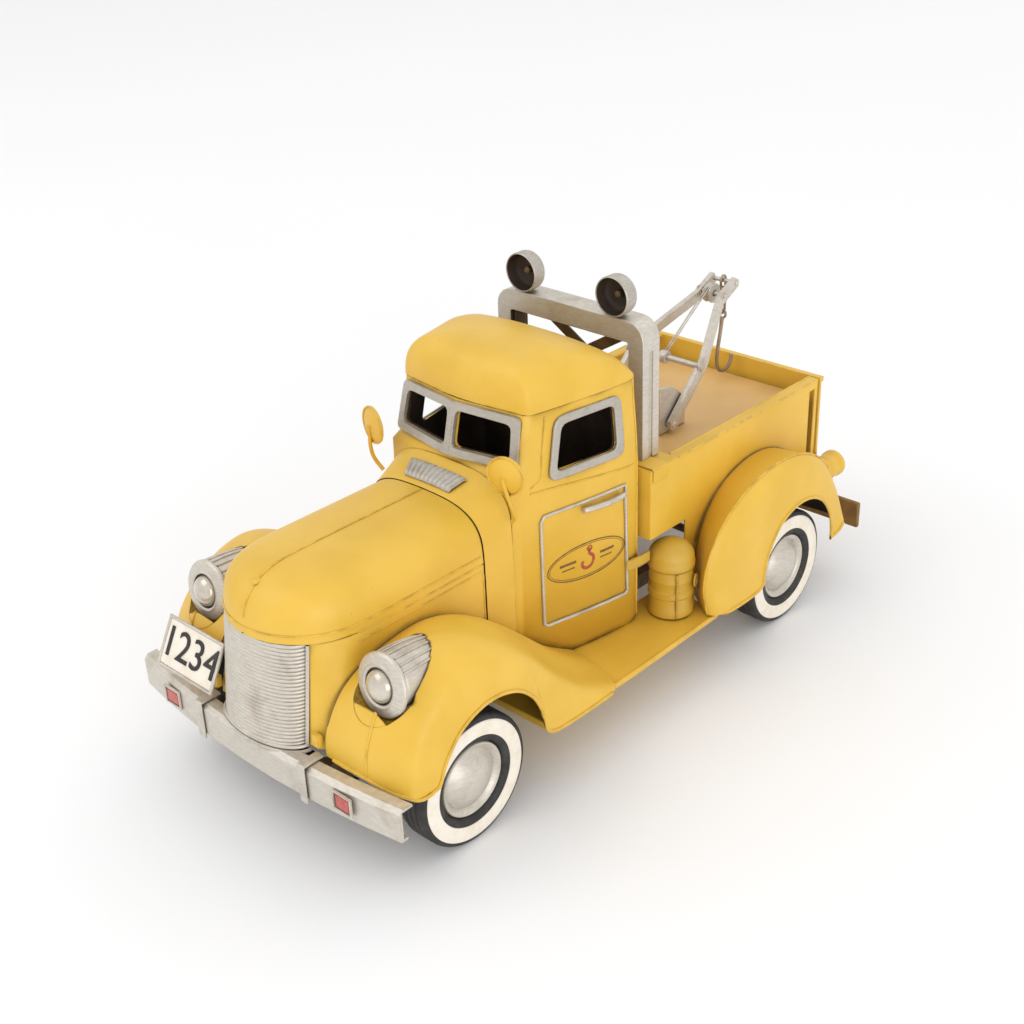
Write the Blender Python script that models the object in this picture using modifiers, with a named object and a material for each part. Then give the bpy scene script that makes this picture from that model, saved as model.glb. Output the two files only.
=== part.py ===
"""Toy tow truck in tinplate, about 412 mm long, modelled piece by piece.

The truck faces -Y, its left side is +X and up is +Z. The origin is on the ground,
under the middle of the truck. Inside this script lengths are in millimetres and y
counts from the front axle, and place() turns them into world metres.
"""

import math

import bmesh
import bpy
from mathutils import Matrix, Vector

# Driving dimensions, in millimetres
WHEELBASE = 264.0
FRONT_Y = -66.0
REAR_Y = 344.0
MIDDLE_Y = (FRONT_Y + REAR_Y) / 2
TYRE_R = 35.0
TYRE_WIDTH = 18.0
TYRE_SIDES = 24
WHEEL_X = 79.0
HUB_R = 20.0
AXLE_R = 2.5
SHEET = 1.2
WALL = 1.6
GAP = 0.4
BONNET_HALF = 42.0
BONNET_TOP = 141.0
BONNET_EDGE = 112.4
HOOD_POWER = 0.65
NOSE_BOTTOM = 59.0
COWL_FRONT_Y = 59.0
CAB_FRONT_Y = 78.4
CAB_REAR_Y = 163.0
CAB_HALF = 58.0
CAB_BOTTOM = 38.0
CAB_TOP = 181.5
ROOF_TOP = 208.0
ROOF_CENTRE_Y = 114.0
BED_HALF = 62.5
BED_FRONT_Y = 166.0
BED_REAR_Y = 330.0
BED_BOTTOM = 48.0
BED_TOP = 128.0
DECK_TOP = 115.0
BOARD_TOP = 37.0
BOARD_OUT = 88.0
FENDER_OUT = 94.5
BUMPER_HALF = 98.0
BUMPER_LOW = 40.0
BUMPER_HIGH = 57.5
BUMPER_SWEEP = 8.5
TOWER_HALF = 52.0
TOWER_TOP = 206.5
TOWER_Y = (172.0, 186.0)
BOOM_PIVOT = (233.0, 121.0)
BOOM_KNEE = (262.0, 150.0)
BOOM_BEND = (301.0, 173.5)
BOOM_TIP = (316.0, 181.0)
BOOM_FOOT_X = 25.0
BOOM_HEAD_X = 8.0
PULLEY_AXIS = (303.0, 176.0)
LINK_AXIS = (315.0, 180.5)
LINK_MIDDLE_Z = 171.3
HOOK_AXIS = (315.0, 160.6)
GATE_HINGE = (332.0, 74.0)


def clear_scene():
    for obj in list(bpy.data.objects):
        bpy.data.objects.remove(obj, do_unlink=True)


def new_collection(name):
    group = bpy.data.collections.new(name)
    bpy.context.scene.collection.children.link(group)
    return group


clear_scene()
TRUCK = new_collection("toy_tow_truck")
CUTTERS = new_collection("cutters")


def paint(name, colour, metallic, roughness):
    mat = bpy.data.materials.new(name)
    mat.use_nodes = True
    shader = mat.node_tree.nodes["Principled BSDF"]
    shader.inputs["Base Color"].default_value = (*colour, 1.0)
    shader.inputs["Metallic"].default_value = metallic
    shader.inputs["Roughness"].default_value = roughness
    return mat


YELLOW = paint("yellow_paint", (0.72, 0.43, 0.03), 0.0, 0.38)
SILVER = paint("silver_paint", (0.58, 0.55, 0.50), 0.75, 0.42)
BROWN = paint("brown_metal", (0.10, 0.06, 0.03), 0.5, 0.55)
BLACK = paint("black_rubber", (0.02, 0.02, 0.02), 0.0, 0.65)
RED = paint("red_lens", (0.55, 0.04, 0.02), 0.0, 0.3)
WHITE = paint("white_enamel", (0.82, 0.80, 0.76), 0.0, 0.45)


def place(point):
    """Millimetres from the front axle to world metres."""
    x, y, z = point
    return Vector((x, y - MIDDLE_Y, z)) * 0.001


def add_object(name, bm, mat, origin=None, group=TRUCK):
    """Make an object of a bmesh in millimetres, with its origin on a joint axis if given."""
    start = place(origin) if origin else Vector((0.0, 0.0, 0.0))
    for vert in bm.verts:
        vert.co = place(vert.co) - start
    mesh = bpy.data.meshes.new(name)
    bm.to_mesh(mesh)
    bm.free()
    obj = bpy.data.objects.new(name, mesh)
    obj.location = start
    if mat:
        mesh.materials.append(mat)
    group.objects.link(obj)
    return obj


def add_cutter(name, bm):
    cutter = add_object(name, bm, None, group=CUTTERS)
    cutter.hide_render = True
    cutter.display_type = "WIRE"
    return cutter


def boolean(obj, other, operation="DIFFERENCE"):
    mod = obj.modifiers.new(other.name, "BOOLEAN")
    mod.operation = operation
    mod.object = other
    return mod


def cut(obj, bm, label="cut"):
    return boolean(obj, add_cutter(f"{obj.name}_{label}", bm))


def join(obj, bm, label="join"):
    return boolean(obj, add_cutter(f"{obj.name}_{label}", bm), "UNION")


def smooth(obj, angle=35.0):
    obj.data.shade_smooth()
    obj.data.set_sharp_from_angle(angle=math.radians(angle))
    return obj


def sheet_metal(obj, thickness=SHEET):
    """Give an open surface its wall, on the inner side."""
    mod = obj.modifiers.new("wall", "SOLIDIFY")
    mod.thickness = thickness * 0.001
    mod.offset = -1.0
    return obj


def box(low, high):
    bm = bmesh.new()
    size = Vector(high) - Vector(low)
    centre = (Vector(high) + Vector(low)) / 2
    bmesh.ops.create_cube(bm, size=1.0, matrix=Matrix.Translation(centre) @ Matrix.Diagonal((*size, 1.0)))
    return bm


def rod(centre, radius, length, axis="X", sides=20, radius_end=None):
    """A cylinder or cone along one axis, from its middle."""
    quarter = math.pi / 2
    turn = {"X": Matrix.Rotation(quarter, 4, "Y"), "Y": Matrix.Rotation(-quarter, 4, "X"), "Z": Matrix()}
    bm = bmesh.new()
    bmesh.ops.create_cone(
        bm,
        cap_ends=True,
        segments=sides,
        radius1=radius,
        radius2=radius if radius_end is None else radius_end,
        depth=length,
        matrix=Matrix.Translation(centre) @ turn[axis],
    )
    return bm


def merged(*parts):
    """One bmesh of several that don't touch, or that a Boolean takes one by one."""
    whole = bmesh.new()
    for bm in parts:
        mesh = bpy.data.meshes.new("part")
        bm.to_mesh(mesh)
        bm.free()
        whole.from_mesh(mesh)
        bpy.data.meshes.remove(mesh)
    return whole


def plate(outline, axis, low, high):
    """A flat outline pushed along an axis: (y, z) points for X, (x, z) for Y, (x, y) for Z."""
    bm = bmesh.new()
    spots = {"X": lambda a, b: (low, a, b), "Y": lambda a, b: (a, low, b), "Z": lambda a, b: (a, b, low)}
    face = bm.faces.new([bm.verts.new(spots[axis](a, b)) for a, b in outline])
    grown = bmesh.ops.extrude_face_region(bm, geom=[face])["geom"]
    step = Vector([(high - low) if letter == axis else 0.0 for letter in "XYZ"])
    bmesh.ops.translate(bm, vec=step, verts=[v for v in grown if isinstance(v, bmesh.types.BMVert)])
    bmesh.ops.recalc_face_normals(bm, faces=bm.faces)
    return bm


def loft(rings, caps=True):
    """Join closed rings of equal length, with a face over each end."""
    bm = bmesh.new()
    rows = [[bm.verts.new(point) for point in ring] for ring in rings]
    for low, high in zip(rows, rows[1:]):
        for i in range(len(low)):
            k = (i + 1) % len(low)
            bm.faces.new((low[i], low[k], high[k], high[i]))
    if caps:
        bm.faces.new(list(reversed(rows[0])))
        bm.faces.new(rows[-1])
        bmesh.ops.recalc_face_normals(bm, faces=bm.faces)
    return bm


def ring_solid(loops):
    """Join closed loops round and back to the first, as for a window frame."""
    bm = loft(loops + [loops[0]], caps=False)
    bmesh.ops.remove_doubles(bm, verts=bm.verts, dist=0.0001)
    bmesh.ops.recalc_face_normals(bm, faces=bm.faces)
    return bm


def surface(rows, flip=False):
    """An open skin through rows of points of equal length."""
    bm = bmesh.new()
    grid = [[bm.verts.new(point) for point in row] for row in rows]
    for near, far in zip(grid, grid[1:]):
        for i in range(len(near) - 1):
            quad = (near[i], near[i + 1], far[i + 1], far[i])
            bm.faces.new(tuple(reversed(quad)) if flip else quad)
    return bm


def mirrored(bm):
    """The same shape on the other side of the truck."""
    bmesh.ops.scale(bm, vec=(-1.0, 1.0, 1.0), verts=bm.verts)
    bmesh.ops.reverse_faces(bm, faces=bm.faces)
    return bm


def turned(name, profile, mat, centre, axis, steps=28):
    """Spin a (radius, height) profile, listed top to bottom, about an axis through centre."""
    bm = bmesh.new()
    verts = [bm.verts.new((r * 0.001, 0.0, h * 0.001)) for r, h in profile]
    for a, b in zip(verts, verts[1:]):
        bm.edges.new((a, b))
    mesh = bpy.data.meshes.new(name)
    bm.to_mesh(mesh)
    bm.free()
    obj = bpy.data.objects.new(name, mesh)
    mesh.materials.append(mat)
    TRUCK.objects.link(obj)
    obj.location = place(centre)
    if axis == "X":
        obj.rotation_euler = (0.0, math.pi / 2, 0.0)
    if axis == "-X":
        obj.rotation_euler = (0.0, -math.pi / 2, 0.0)
    if axis == "Y":
        obj.rotation_euler = (-math.pi / 2, 0.0, 0.0)
    if axis == "-Y":
        obj.rotation_euler = (math.pi / 2, 0.0, 0.0)
    mod = obj.modifiers.new("turn", "SCREW")
    mod.steps = steps
    mod.render_steps = steps
    mod.use_merge_vertices = True
    mod.merge_threshold = 0.00005
    mod.use_smooth_shade = True
    return obj


def tube(name, points, radius, mat, resolution=3, closed=False):
    curve = bpy.data.curves.new(name, "CURVE")
    curve.dimensions = "3D"
    curve.bevel_depth = radius * 0.001
    curve.bevel_resolution = resolution
    curve.use_fill_caps = True
    spline = curve.splines.new("POLY")
    spline.points.add(len(points) - 1)
    for spot, point in zip(spline.points, points):
        spot.co = (*place(point), 1.0)
    spline.use_cyclic_u = closed
    curve.materials.append(mat)
    obj = bpy.data.objects.new(name, curve)
    TRUCK.objects.link(obj)
    return obj


def tube_mesh(points, radius, sides=8):
    """A round bar through points as a solid that Boolean can join, in millimetres."""
    rings = []
    count = len(points)
    side = None
    for i, point in enumerate(points):
        ahead = Vector(points[min(i + 1, count - 1)])
        behind = Vector(points[max(i - 1, 0)])
        direction = (ahead - behind).normalized()
        if side is None:
            side = direction.orthogonal().normalized()
        side = (side - direction * side.dot(direction)).normalized()
        other = direction.cross(side)
        angles = [2 * math.pi * k / sides for k in range(sides)]
        rings.append([Vector(point) + radius * (side * math.cos(a) + other * math.sin(a)) for a in angles])
    return loft(rings)


def bar(points, width, height):
    """A square bar through points, wide along X and high across its run."""
    rings = []
    count = len(points)
    for i, point in enumerate(points):
        ahead = Vector(points[min(i + 1, count - 1)])
        behind = Vector(points[max(i - 1, 0)])
        direction = (ahead - behind).normalized()
        side = Vector((1.0, 0.0, 0.0))
        up = side.cross(direction).normalized()
        corners = ((-1, -1), (1, -1), (1, 1), (-1, 1))
        rings.append([Vector(point) + side * (a * width / 2) + up * (b * height / 2) for a, b in corners])
    return loft(rings)


def through(points, count):
    """Even points along a smooth curve through a few points."""
    spots = [Vector(p) for p in points]
    padded = [spots[0] * 2 - spots[1]] + spots + [spots[-1] * 2 - spots[-2]]
    result = []
    for k in range(count):
        t = k / (count - 1) * (len(spots) - 1)
        i = min(int(t), len(spots) - 2)
        u = t - i
        p0, p1, p2, p3 = padded[i : i + 4]
        a = (p1 * 2) + (p2 - p0) * u
        b = (p0 * 2 - p1 * 5 + p2 * 4 - p3) * (u * u)
        c = (p1 * 3 - p0 - p2 * 3 + p3) * (u * u * u)
        result.append((a + b + c) / 2)
    return result


def arc(centre, radius, start, end, count):
    """Points on a circle, with angles in degrees."""
    angles = [math.radians(start + (end - start) * k / (count - 1)) for k in range(count)]
    return [(centre[0] + radius * math.cos(a), centre[1] + radius * math.sin(a)) for a in angles]


def rounded(corners, radius, count=4):
    """A polygon with its corners rounded, by a curve pulled towards each corner."""
    result = []
    total = len(corners)
    for i in range(total):
        here = Vector(corners[i])
        back = (Vector(corners[i - 1]) - here).normalized() * radius
        ahead = (Vector(corners[(i + 1) % total]) - here).normalized() * radius
        for k in range(count):
            t = k / (count - 1)
            result.append(tuple(here + back * (1 - t) ** 2 + ahead * t**2))
    return result


def shrunk(points, distance):
    """Move an outline inwards by about a distance, towards its middle."""
    middle = Vector((sum(p[0] for p in points), sum(p[1] for p in points))) / len(points)
    result = []
    for i, point in enumerate(points):
        back = Vector(points[i - 1])
        ahead = Vector(points[(i + 1) % len(points)])
        run = (ahead - back).normalized()
        inward = Vector((-run.y, run.x))
        if inward.dot(middle - Vector(point)) < 0:
            inward = -inward
        result.append(tuple(Vector(point) + inward * distance))
    return result


def ease(t):
    t = min(max(t, 0.0), 1.0)
    return t * t * (3 - 2 * t)


def body_half(y):
    """Half width of the bonnet, cowl and cab, which grow wider towards the back."""
    return BONNET_HALF + (CAB_HALF - BONNET_HALF) * ease((y - 52.0) / 111.0)


# Cab, roof and cowl
BELT_Z = 135.0
SCREEN_LOW = 152.0
SCREEN_LEAN = 7.0
SCREEN_SWEEP = 6.0


def cab_front(x, z):
    """The front wall's y: upright below the screen, then leaning back and swept to the sides."""
    rise = min(max((z - SCREEN_LOW) / (CAB_TOP - SCREEN_LOW), 0.0), 1.2)
    sweep = SCREEN_SWEEP * min(max((z - SCREEN_LOW + 2.0) / 2.0, 0.0), 1.0)
    return CAB_FRONT_Y + SCREEN_LEAN * rise + sweep * abs(x) / 44.0


def cab_side(y, z):
    """The side wall's x, which leans in a little above the belt line."""
    lean = 1.0 - 0.055 * ease((z - BELT_Z) / 50.0)
    return body_half(y) * lean


def cab_ring(z, inset=0.0, grow=0.0):
    """The cab's outline at one height, counter-clockwise from the middle of the front."""
    front = cab_front(0.0, z) + inset - grow
    corner_x = cab_side(front + 8.0, z) - 2.8 - inset + grow
    corner_y = cab_front(corner_x, z) + inset - grow
    rear = CAB_REAR_Y - inset + grow
    half = [(corner_x * 0.5, cab_front(corner_x * 0.5, z) + inset - grow), (corner_x, corner_y)]
    half.append((cab_side(corner_y + 3.0, z) - 1.2 - inset + grow, corner_y + 1.4))
    for y in (corner_y + 5.0, 100.0, 112.0, 124.0, 136.0, 148.0, 156.0):
        half.append((cab_side(y, z) - inset + grow, y))
    half.append((cab_side(CAB_REAR_Y, z) - 1.6 - inset + grow, rear - 1.6))
    half.append((cab_side(CAB_REAR_Y, z) - 7.0 - inset + grow, rear))
    half.append((24.0, rear))
    other = [(-x, y) for x, y in reversed(half)]
    return [Vector((x, y, z)) for x, y in [(0.0, front)] + half + [(0.0, rear)] + other]


def make_cab():
    levels = (CAB_BOTTOM, BELT_Z, 150.0, SCREEN_LOW, 160.0, 170.0, CAB_TOP)
    cab = add_object("cab_body", loft([cab_ring(z) for z in levels]), YELLOW)
    inner = (CAB_BOTTOM + 2.0, BELT_Z, 150.0, SCREEN_LOW, 160.0, 170.0, CAB_TOP, CAB_TOP + 4.0)
    cut(cab, loft([cab_ring(z, inset=WALL) for z in inner]), "inside")
    side_window = rounded(SIDE_OPENING, 4.0)
    cut(cab, plate(side_window, "X", -75.0, 75.0), "side_windows")
    for side in (-1, 1):
        pane = rounded([(side * x, z) for x, z in SCREEN_OPENING], 3.5)
        cut(cab, plate(pane, "Y", 60.0, 108.0), f"screen{side}")
    rear_window = rounded([(-24.0, 152.0), (24.0, 152.0), (24.0, 172.0), (-24.0, 172.0)], 4.0)
    cut(cab, plate(rear_window, "Y", 150.0, 175.0), "rear_window")
    smooth(cab)


SIDE_OPENING = [(104.5, 148.0), (144.0, 148.5), (144.0, 173.0), (110.0, 172.5)]
SCREEN_OPENING = [(2.6, 157.5), (38.5, 158.5), (37.0, 176.5), (2.6, 177.0)]


def make_roof():
    """A pressed crown, in rings of (height, scale, rear scale, roundness)."""
    levels = [(CAB_TOP + GAP, 1.0, 1.0, 0.0), (185.5, 1.0, 1.0, 0.0), (191.0, 0.985, 0.95, 0.25)]
    levels += [(196.0, 0.945, 0.86, 0.4), (200.0, 0.88, 0.74, 0.6), (203.5, 0.78, 0.58, 0.8)]
    levels += [(206.0, 0.62, 0.42, 1.0), (ROOF_TOP - 0.6, 0.36, 0.25, 1.0)]
    base = cab_ring(CAB_TOP, grow=0.6)
    rings = [_drawn_in(base, *level) for level in levels]
    bm = loft(rings, caps=False)
    bm.verts.ensure_lookup_table()
    top = bm.verts.new((0.0, ROOF_CENTRE_Y, ROOF_TOP))
    last = bm.verts[-1 - len(base) : -1]
    for i in range(len(base)):
        bm.faces.new((last[i], last[(i + 1) % len(base)], top))
    smooth(sheet_metal(add_object("cab_roof", bm, YELLOW)), 50.0)


def _drawn_in(ring, z, scale, rear_scale, roundness):
    widest = max(point.x for point in ring)
    result = []
    for point in ring:
        back = point.y - ROOF_CENTRE_Y
        reach = CAB_REAR_Y - ROOF_CENTRE_Y if back > 0 else ROOF_CENTRE_Y - CAB_FRONT_Y
        corner = ((abs(point.x) / widest) ** 3 + (abs(back) / reach) ** 3) ** (1 / 3)
        pull = 1.0 / (1.0 + roundness * max(corner - 1.0, 0.0))
        y = ROOF_CENTRE_Y + back * pull * (rear_scale if back > 0 else scale)
        result.append(Vector((point.x * pull * scale, y, z)))
    return result


def hood_row(half, top, y, low, count=15, power=HOOD_POWER):
    """One hoop over the bonnet or cowl, from the right edge to the left one."""
    row = []
    for k in range(count):
        a = math.pi * k / (count - 1)
        across = -math.copysign(abs(math.cos(a)) ** power, math.cos(a))
        row.append((half * across, y, low + (top - low) * math.sin(a) ** power))
    return row


def make_bonnet():
    nose = -60.0
    rows = []
    for y in (-59.99, -59.6, -58.0, -55.0, -50.0, -43.0, -34.0, -22.0, -8.0, 14.0, 36.0, COWL_FRONT_Y - GAP):
        plan = min(max((-18.0 - y) / (-18.0 - nose), 0.0), 1.0)
        rise = min(max((-20.0 - y) / (-20.0 - nose), 0.0), 1.0)
        half = (BONNET_HALF - 0.6) * math.sqrt(1 - plan**2.2)
        top = BONNET_EDGE + (BONNET_TOP - BONNET_EDGE) * math.sqrt(1 - rise**3.4)
        rows.append(hood_row(half, top, y, BONNET_EDGE))
    smooth(sheet_metal(add_object("bonnet", surface(rows), YELLOW)), 50.0)


def make_cowl():
    rows = []
    for y in (COWL_FRONT_Y, 64.0, 70.0, CAB_FRONT_Y - 1.0):
        t = (y - COWL_FRONT_Y) / (CAB_FRONT_Y - COWL_FRONT_Y)
        row = hood_row(body_half(y), BONNET_TOP + 0.4 + 10.0 * t, y, BONNET_EDGE, power=HOOD_POWER - 0.1 * t)
        row = [(-body_half(y), y, CAB_BOTTOM)] + row + [(body_half(y), y, CAB_BOTTOM)]
        rows.append(row)
    smooth(sheet_metal(add_object("cowl", surface(rows), YELLOW)))


def make_nose():
    """The curved panels beside the engine and the ribbed grille between them."""
    top = [(41.6, COWL_FRONT_Y - GAP), (41.6, -20.0), (40.0, -30.0), (35.6, -39.0), (29.2, -45.4)]
    low = [(41.6, COWL_FRONT_Y - GAP), (41.6, -42.0), (41.0, -49.0), (37.0, -52.0), (29.2, -52.4)]
    for side, label in ((1, "left"), (-1, "right")):
        rings = []
        for z, path in ((NOSE_BOTTOM, low), (BONNET_EDGE - GAP, top)):
            inner = [(x - SHEET, y + (0.0 if i == 0 else SHEET)) for i, (x, y) in enumerate(path)]
            ring = [Vector((side * x, y, z)) for x, y in path + list(reversed(inner))]
            rings.append(ring)
        add_object(f"side_panel_{label}", loft(rings), YELLOW)
    rows = []
    for k in range(5):
        t = k / 4
        z = NOSE_BOTTOM + (BONNET_EDGE - GAP - NOSE_BOTTOM) * t
        back = -52.0 + 7.0 * t
        row = []
        for k in range(13):
            a = math.pi * k / 12
            row.append((-28.4 * math.cos(a), back - 13.4 * math.sin(a) ** 0.9, z))
        rows.append(row)
    smooth(sheet_metal(add_object("grille", surface(rows), SILVER)))


# Fenders and running boards
ARCH_R = 36.0
LAMP = (65.5, -33.0, 98.5)
LAMP_R = 16.0
LAMP_TILT = 10.0
LAMP_SHELL = [(14.4, -2.6), (14.6, 6.0), (14.2, 16.0), (12.6, 27.0), (9.4, 36.0), (4.6, 42.0), (0.0, 43.5)]


def spool(profile, centre, sides=20):
    """A solid turned about a line that runs back (+Y) from a centre."""
    angles = [2 * math.pi * k / sides for k in range(sides)]
    rings = [[Vector((r * math.cos(a), h, r * math.sin(a))) for a in angles] for r, h in profile]
    bm = loft(rings)
    bmesh.ops.translate(bm, vec=Vector(centre), verts=bm.verts)
    return bm


def fender_rows(curves, count):
    """Points along each curve, as rows across the fender."""
    lines = []
    for x_of, spots in curves:
        if len(spots) > count:
            spots = spots[:count]
        line = spots if len(spots) == count else through([(y, z, 0.0) for y, z in spots], count)
        lines.append([(x_of(p[0]), p[0], p[1]) for p in line])
    return [[line[i] for line in lines] for i in range(count)]


def make_front_fenders():
    count = 22
    joint = [(-52.0, 58.0), (-51.5, 70.0), (-42.0, 86.5), (-27.0, 96.0), (-6.0, 101.0), (14.0, 101.5)]
    joint += [(29.0, 96.5), (46.0, 87.0), (67.0, 71.5), (88.0, 52.0), (112.0, 38.2)]
    crown = [(-51.0, 57.0), (-49.5, 71.0), (-43.0, 86.0), (-30.0, 100.0), (-12.0, 110.0), (6.0, 112.5)]
    crown += [(24.0, 107.5), (44.0, 94.0), (66.0, 74.0), (88.0, 54.0), (111.0, 38.2)]
    shoulder = [(-48.0, 54.0), (-45.0, 70.0), (-38.0, 85.0), (-24.0, 100.0), (-8.0, 108.5), (8.0, 110.5)]
    shoulder += [(24.0, 104.5), (43.0, 88.0), (63.0, 67.0), (83.0, 49.0), (106.0, 38.2)]
    edge = [(-43.0, 52.0), (-40.0, 66.0), (-33.0, 79.0), (-19.0, 92.0), (-3.0, 99.0), (12.0, 100.5)]
    edge += [(26.0, 94.0), (43.0, 78.0), (60.0, 59.0), (79.0, 45.0), (100.0, 38.2)]
    arch = [(-38.0, 51.5), (-34.0, 52.0), (-30.0, 53.0)] + arc((7.0, 46.0), ARCH_R, 172.0, 0.0, 12)
    arch += [(45.2, 42.0), (50.0, 39.4), (58.0, 38.4), (68.0, 38.2), (78.0, 38.2), (88.0, 38.2), (96.0, 38.2)]
    inner = [((a[0] + b[0]) / 2, (a[1] + b[1] * 2) / 3) for a, b in zip(joint, crown)]
    curves = (
        (lambda y: body_half(y) + 0.6, joint),
        (lambda y: body_half(y) + 11.0, inner),
        (lambda y: 68.0, crown),
        (lambda y: 81.0, shoulder),
        (lambda y: 89.0, [((a[0] + b[0]) / 2, (a[1] + b[1]) / 2 + 1.0) for a, b in zip(shoulder, edge)]),
        (lambda y: 93.0, edge),
        (lambda y: FENDER_OUT, arch),
    )
    rows = fender_rows(curves, count)
    for side, label in ((1, "left"), (-1, "right")):
        skin = surface(rows) if side > 0 else mirrored(surface(rows))
        fender = smooth(sheet_metal(add_object(f"front_fender_{label}", skin, YELLOW)), 50.0)
        seat = [(LAMP_R + 0.8, -8.0), (LAMP_R + 0.8, 3.6)] + [(r + 0.6, h) for r, h in LAMP_SHELL[1:-1]]
        cut(fender, spool(seat + [(1.0, 45.0)], (side * LAMP[0], LAMP[1], LAMP[2])), "lamp_seat")


def make_rear_fenders():
    count = 21
    joint = [(204.0, 38.2), (206.0, 56.0), (211.0, 76.0), (224.0, 92.0), (243.0, 101.0), (264.0, 103.5)]
    joint += [(284.0, 99.0), (301.0, 88.0), (313.0, 72.0), (318.0, 54.0), (317.0, 47.0)]
    seam = [(187.0, 38.2), (182.0, 58.0), (188.0, 78.0), (205.0, 96.0), (229.0, 106.0), (254.0, 109.0)]
    seam += [(280.0, 104.0), (300.0, 91.0), (313.0, 72.0), (319.0, 54.0), (319.0, 47.0)]
    middle = [((a[0] * 2 + b[0] * 3) / 5, (a[1] * 3 + b[1] * 2) / 5) for a, b in zip(joint, seam)]
    shoulder = [(189.0, 38.2), (185.0, 57.0), (191.0, 75.0), (207.0, 92.0), (230.0, 101.5), (254.0, 104.5)]
    shoulder += [(279.0, 99.5), (297.0, 87.5), (310.0, 70.0), (317.0, 54.0), (318.0, 47.0)]
    edge = [(194.0, 38.2), (193.0, 54.0), (200.0, 69.0), (215.0, 83.0), (235.0, 92.0), (257.0, 94.0)]
    edge += [(277.0, 90.0), (294.0, 79.0), (306.0, 65.0), (314.0, 53.0), (317.0, 47.0)]
    arch = [(200.0, 38.2), (211.0, 38.2), (221.0, 38.2)] + arc((266.0, 44.0), ARCH_R, 187.0, -7.0, 15)
    arch += [(306.0, 41.0), (311.0, 43.0), (315.0, 46.0)]
    curves = (
        (lambda y: BED_HALF + 0.6, joint),
        (lambda y: 76.0, middle),
        (lambda y: 87.0, seam),
        (lambda y: 91.0, shoulder),
        (lambda y: 93.6, edge),
        (lambda y: FENDER_OUT, arch),
    )
    rows = fender_rows(curves, count)
    smooth(sheet_metal(add_object("rear_fender_left", surface(rows), YELLOW)), 50.0)
    smooth(sheet_metal(add_object("rear_fender_right", mirrored(surface(rows)), YELLOW)), 50.0)


def make_running_boards():
    for side, label in ((1, "left"), (-1, "right")):
        outline = [(side * 46.0, 54.0), (side * 88.0, 54.0), (side * 89.0, 120.0), (side * 88.0, 196.0)]
        outline += [(side * 46.0, 200.0)]
        board = add_object(f"running_board_{label}", plate(outline, "Z", BOARD_TOP - 4.0, BOARD_TOP), YELLOW)
        hollow = box((48.0, 56.0, 30.0), (86.5, 195.0, BOARD_TOP - SHEET))
        cut(board, hollow if side > 0 else mirrored(hollow), "underside")


# Bed
def make_bed():
    bed = add_object("bed_box", box((-BED_HALF, BED_FRONT_Y, BED_BOTTOM), (BED_HALF, 328.0, BED_TOP)), YELLOW)
    cut(bed, box((-61.0, BED_FRONT_Y + 1.5, 40.0), (61.0, 340.0, BED_TOP - 2.0)), "inside")
    cut(bed, box((-56.5, 190.0, 120.0), (56.5, 340.0, 140.0)), "top")
    left_notch = box((50.0, 160.0, 40.0), (70.0, 198.0, 86.0))
    right_notch = box((-70.0, 160.0, 40.0), (-50.0, 198.0, 86.0))
    cut(bed, merged(left_notch, right_notch), "front_notches")
    left_slot = box((60.0, 319.5, 72.0), (66.0, 325.0, 122.0))
    right_slot = box((-66.0, 319.5, 72.0), (-60.0, 325.0, 122.0))
    cut(bed, merged(left_slot, right_slot), "corner_slots")
    deck = add_object("bed_deck", box((-60.6, 168.0, DECK_TOP - 1.6), (60.6, 327.5, DECK_TOP)), YELLOW)
    cut(deck, box((-70.0, 319.0, 100.0), (-58.6, 340.0, 130.0)), "right_corner")
    cut(deck, box((58.6, 319.0, 100.0), (70.0, 340.0, 130.0)), "left_corner")
    gate = box((-BED_HALF, BED_REAR_Y, 72.0), (BED_HALF, BED_REAR_Y + 2.0, 127.5))
    gate = add_object("tailgate", gate, YELLOW, origin=(0.0, *GATE_HINGE))
    join(gate, box((-BED_HALF, BED_REAR_Y + 0.4, 124.5), (BED_HALF, BED_REAR_Y + 4.0, 127.5)), "top_fold")
    frame = rounded([(-54.0, 80.0), (54.0, 80.0), (54.0, 120.0), (-54.0, 120.0)], 5.0)
    loops = [[Vector((x, y, z)) for x, z in outline] for y, outline in _gate_loops(frame)]
    join(gate, ring_solid(loops), "raised_frame")


def _gate_loops(frame):
    inner = shrunk(frame, 3.0)
    back = BED_REAR_Y + 1.5
    front = BED_REAR_Y + 4.0
    return ((back, frame), (front, frame), (front, inner), (back, inner))


def make_chassis():
    frame = add_object("chassis_frame", box((22.0, -42.0, 27.0), (28.0, 334.0, 36.0)), BROWN)
    join(frame, box((-28.0, -42.0, 27.0), (-22.0, 334.0, 36.0)), "right_rail")
    for i, y in enumerate((-42.0, 90.0, 190.0, 326.0)):
        reach = 43.5 if i in (0, 3) else 27.0
        join(frame, box((-reach, y, 28.0), (reach, y + 7.0, 35.0)), f"cross_{i}")
    for side in (-1, 1):
        low, high = sorted((side * 36.0, side * 43.0))
        join(frame, box((low, -62.0, 42.4), (high, -38.0, 52.0)), f"front_arm{side}")
        join(frame, box((low, -44.0, 29.0), (high, -38.0, 50.0)), f"front_leg{side}")
        join(frame, box((low, 330.0, 29.0), (high, 340.6, 43.0)), f"rear_arm{side}")
    for i, y in enumerate((0.0, WHEELBASE)):
        join(frame, rod((0.0, y, TYRE_R), AXLE_R, 2 * (WHEEL_X + 5.5)), f"axle_{i}")


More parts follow.
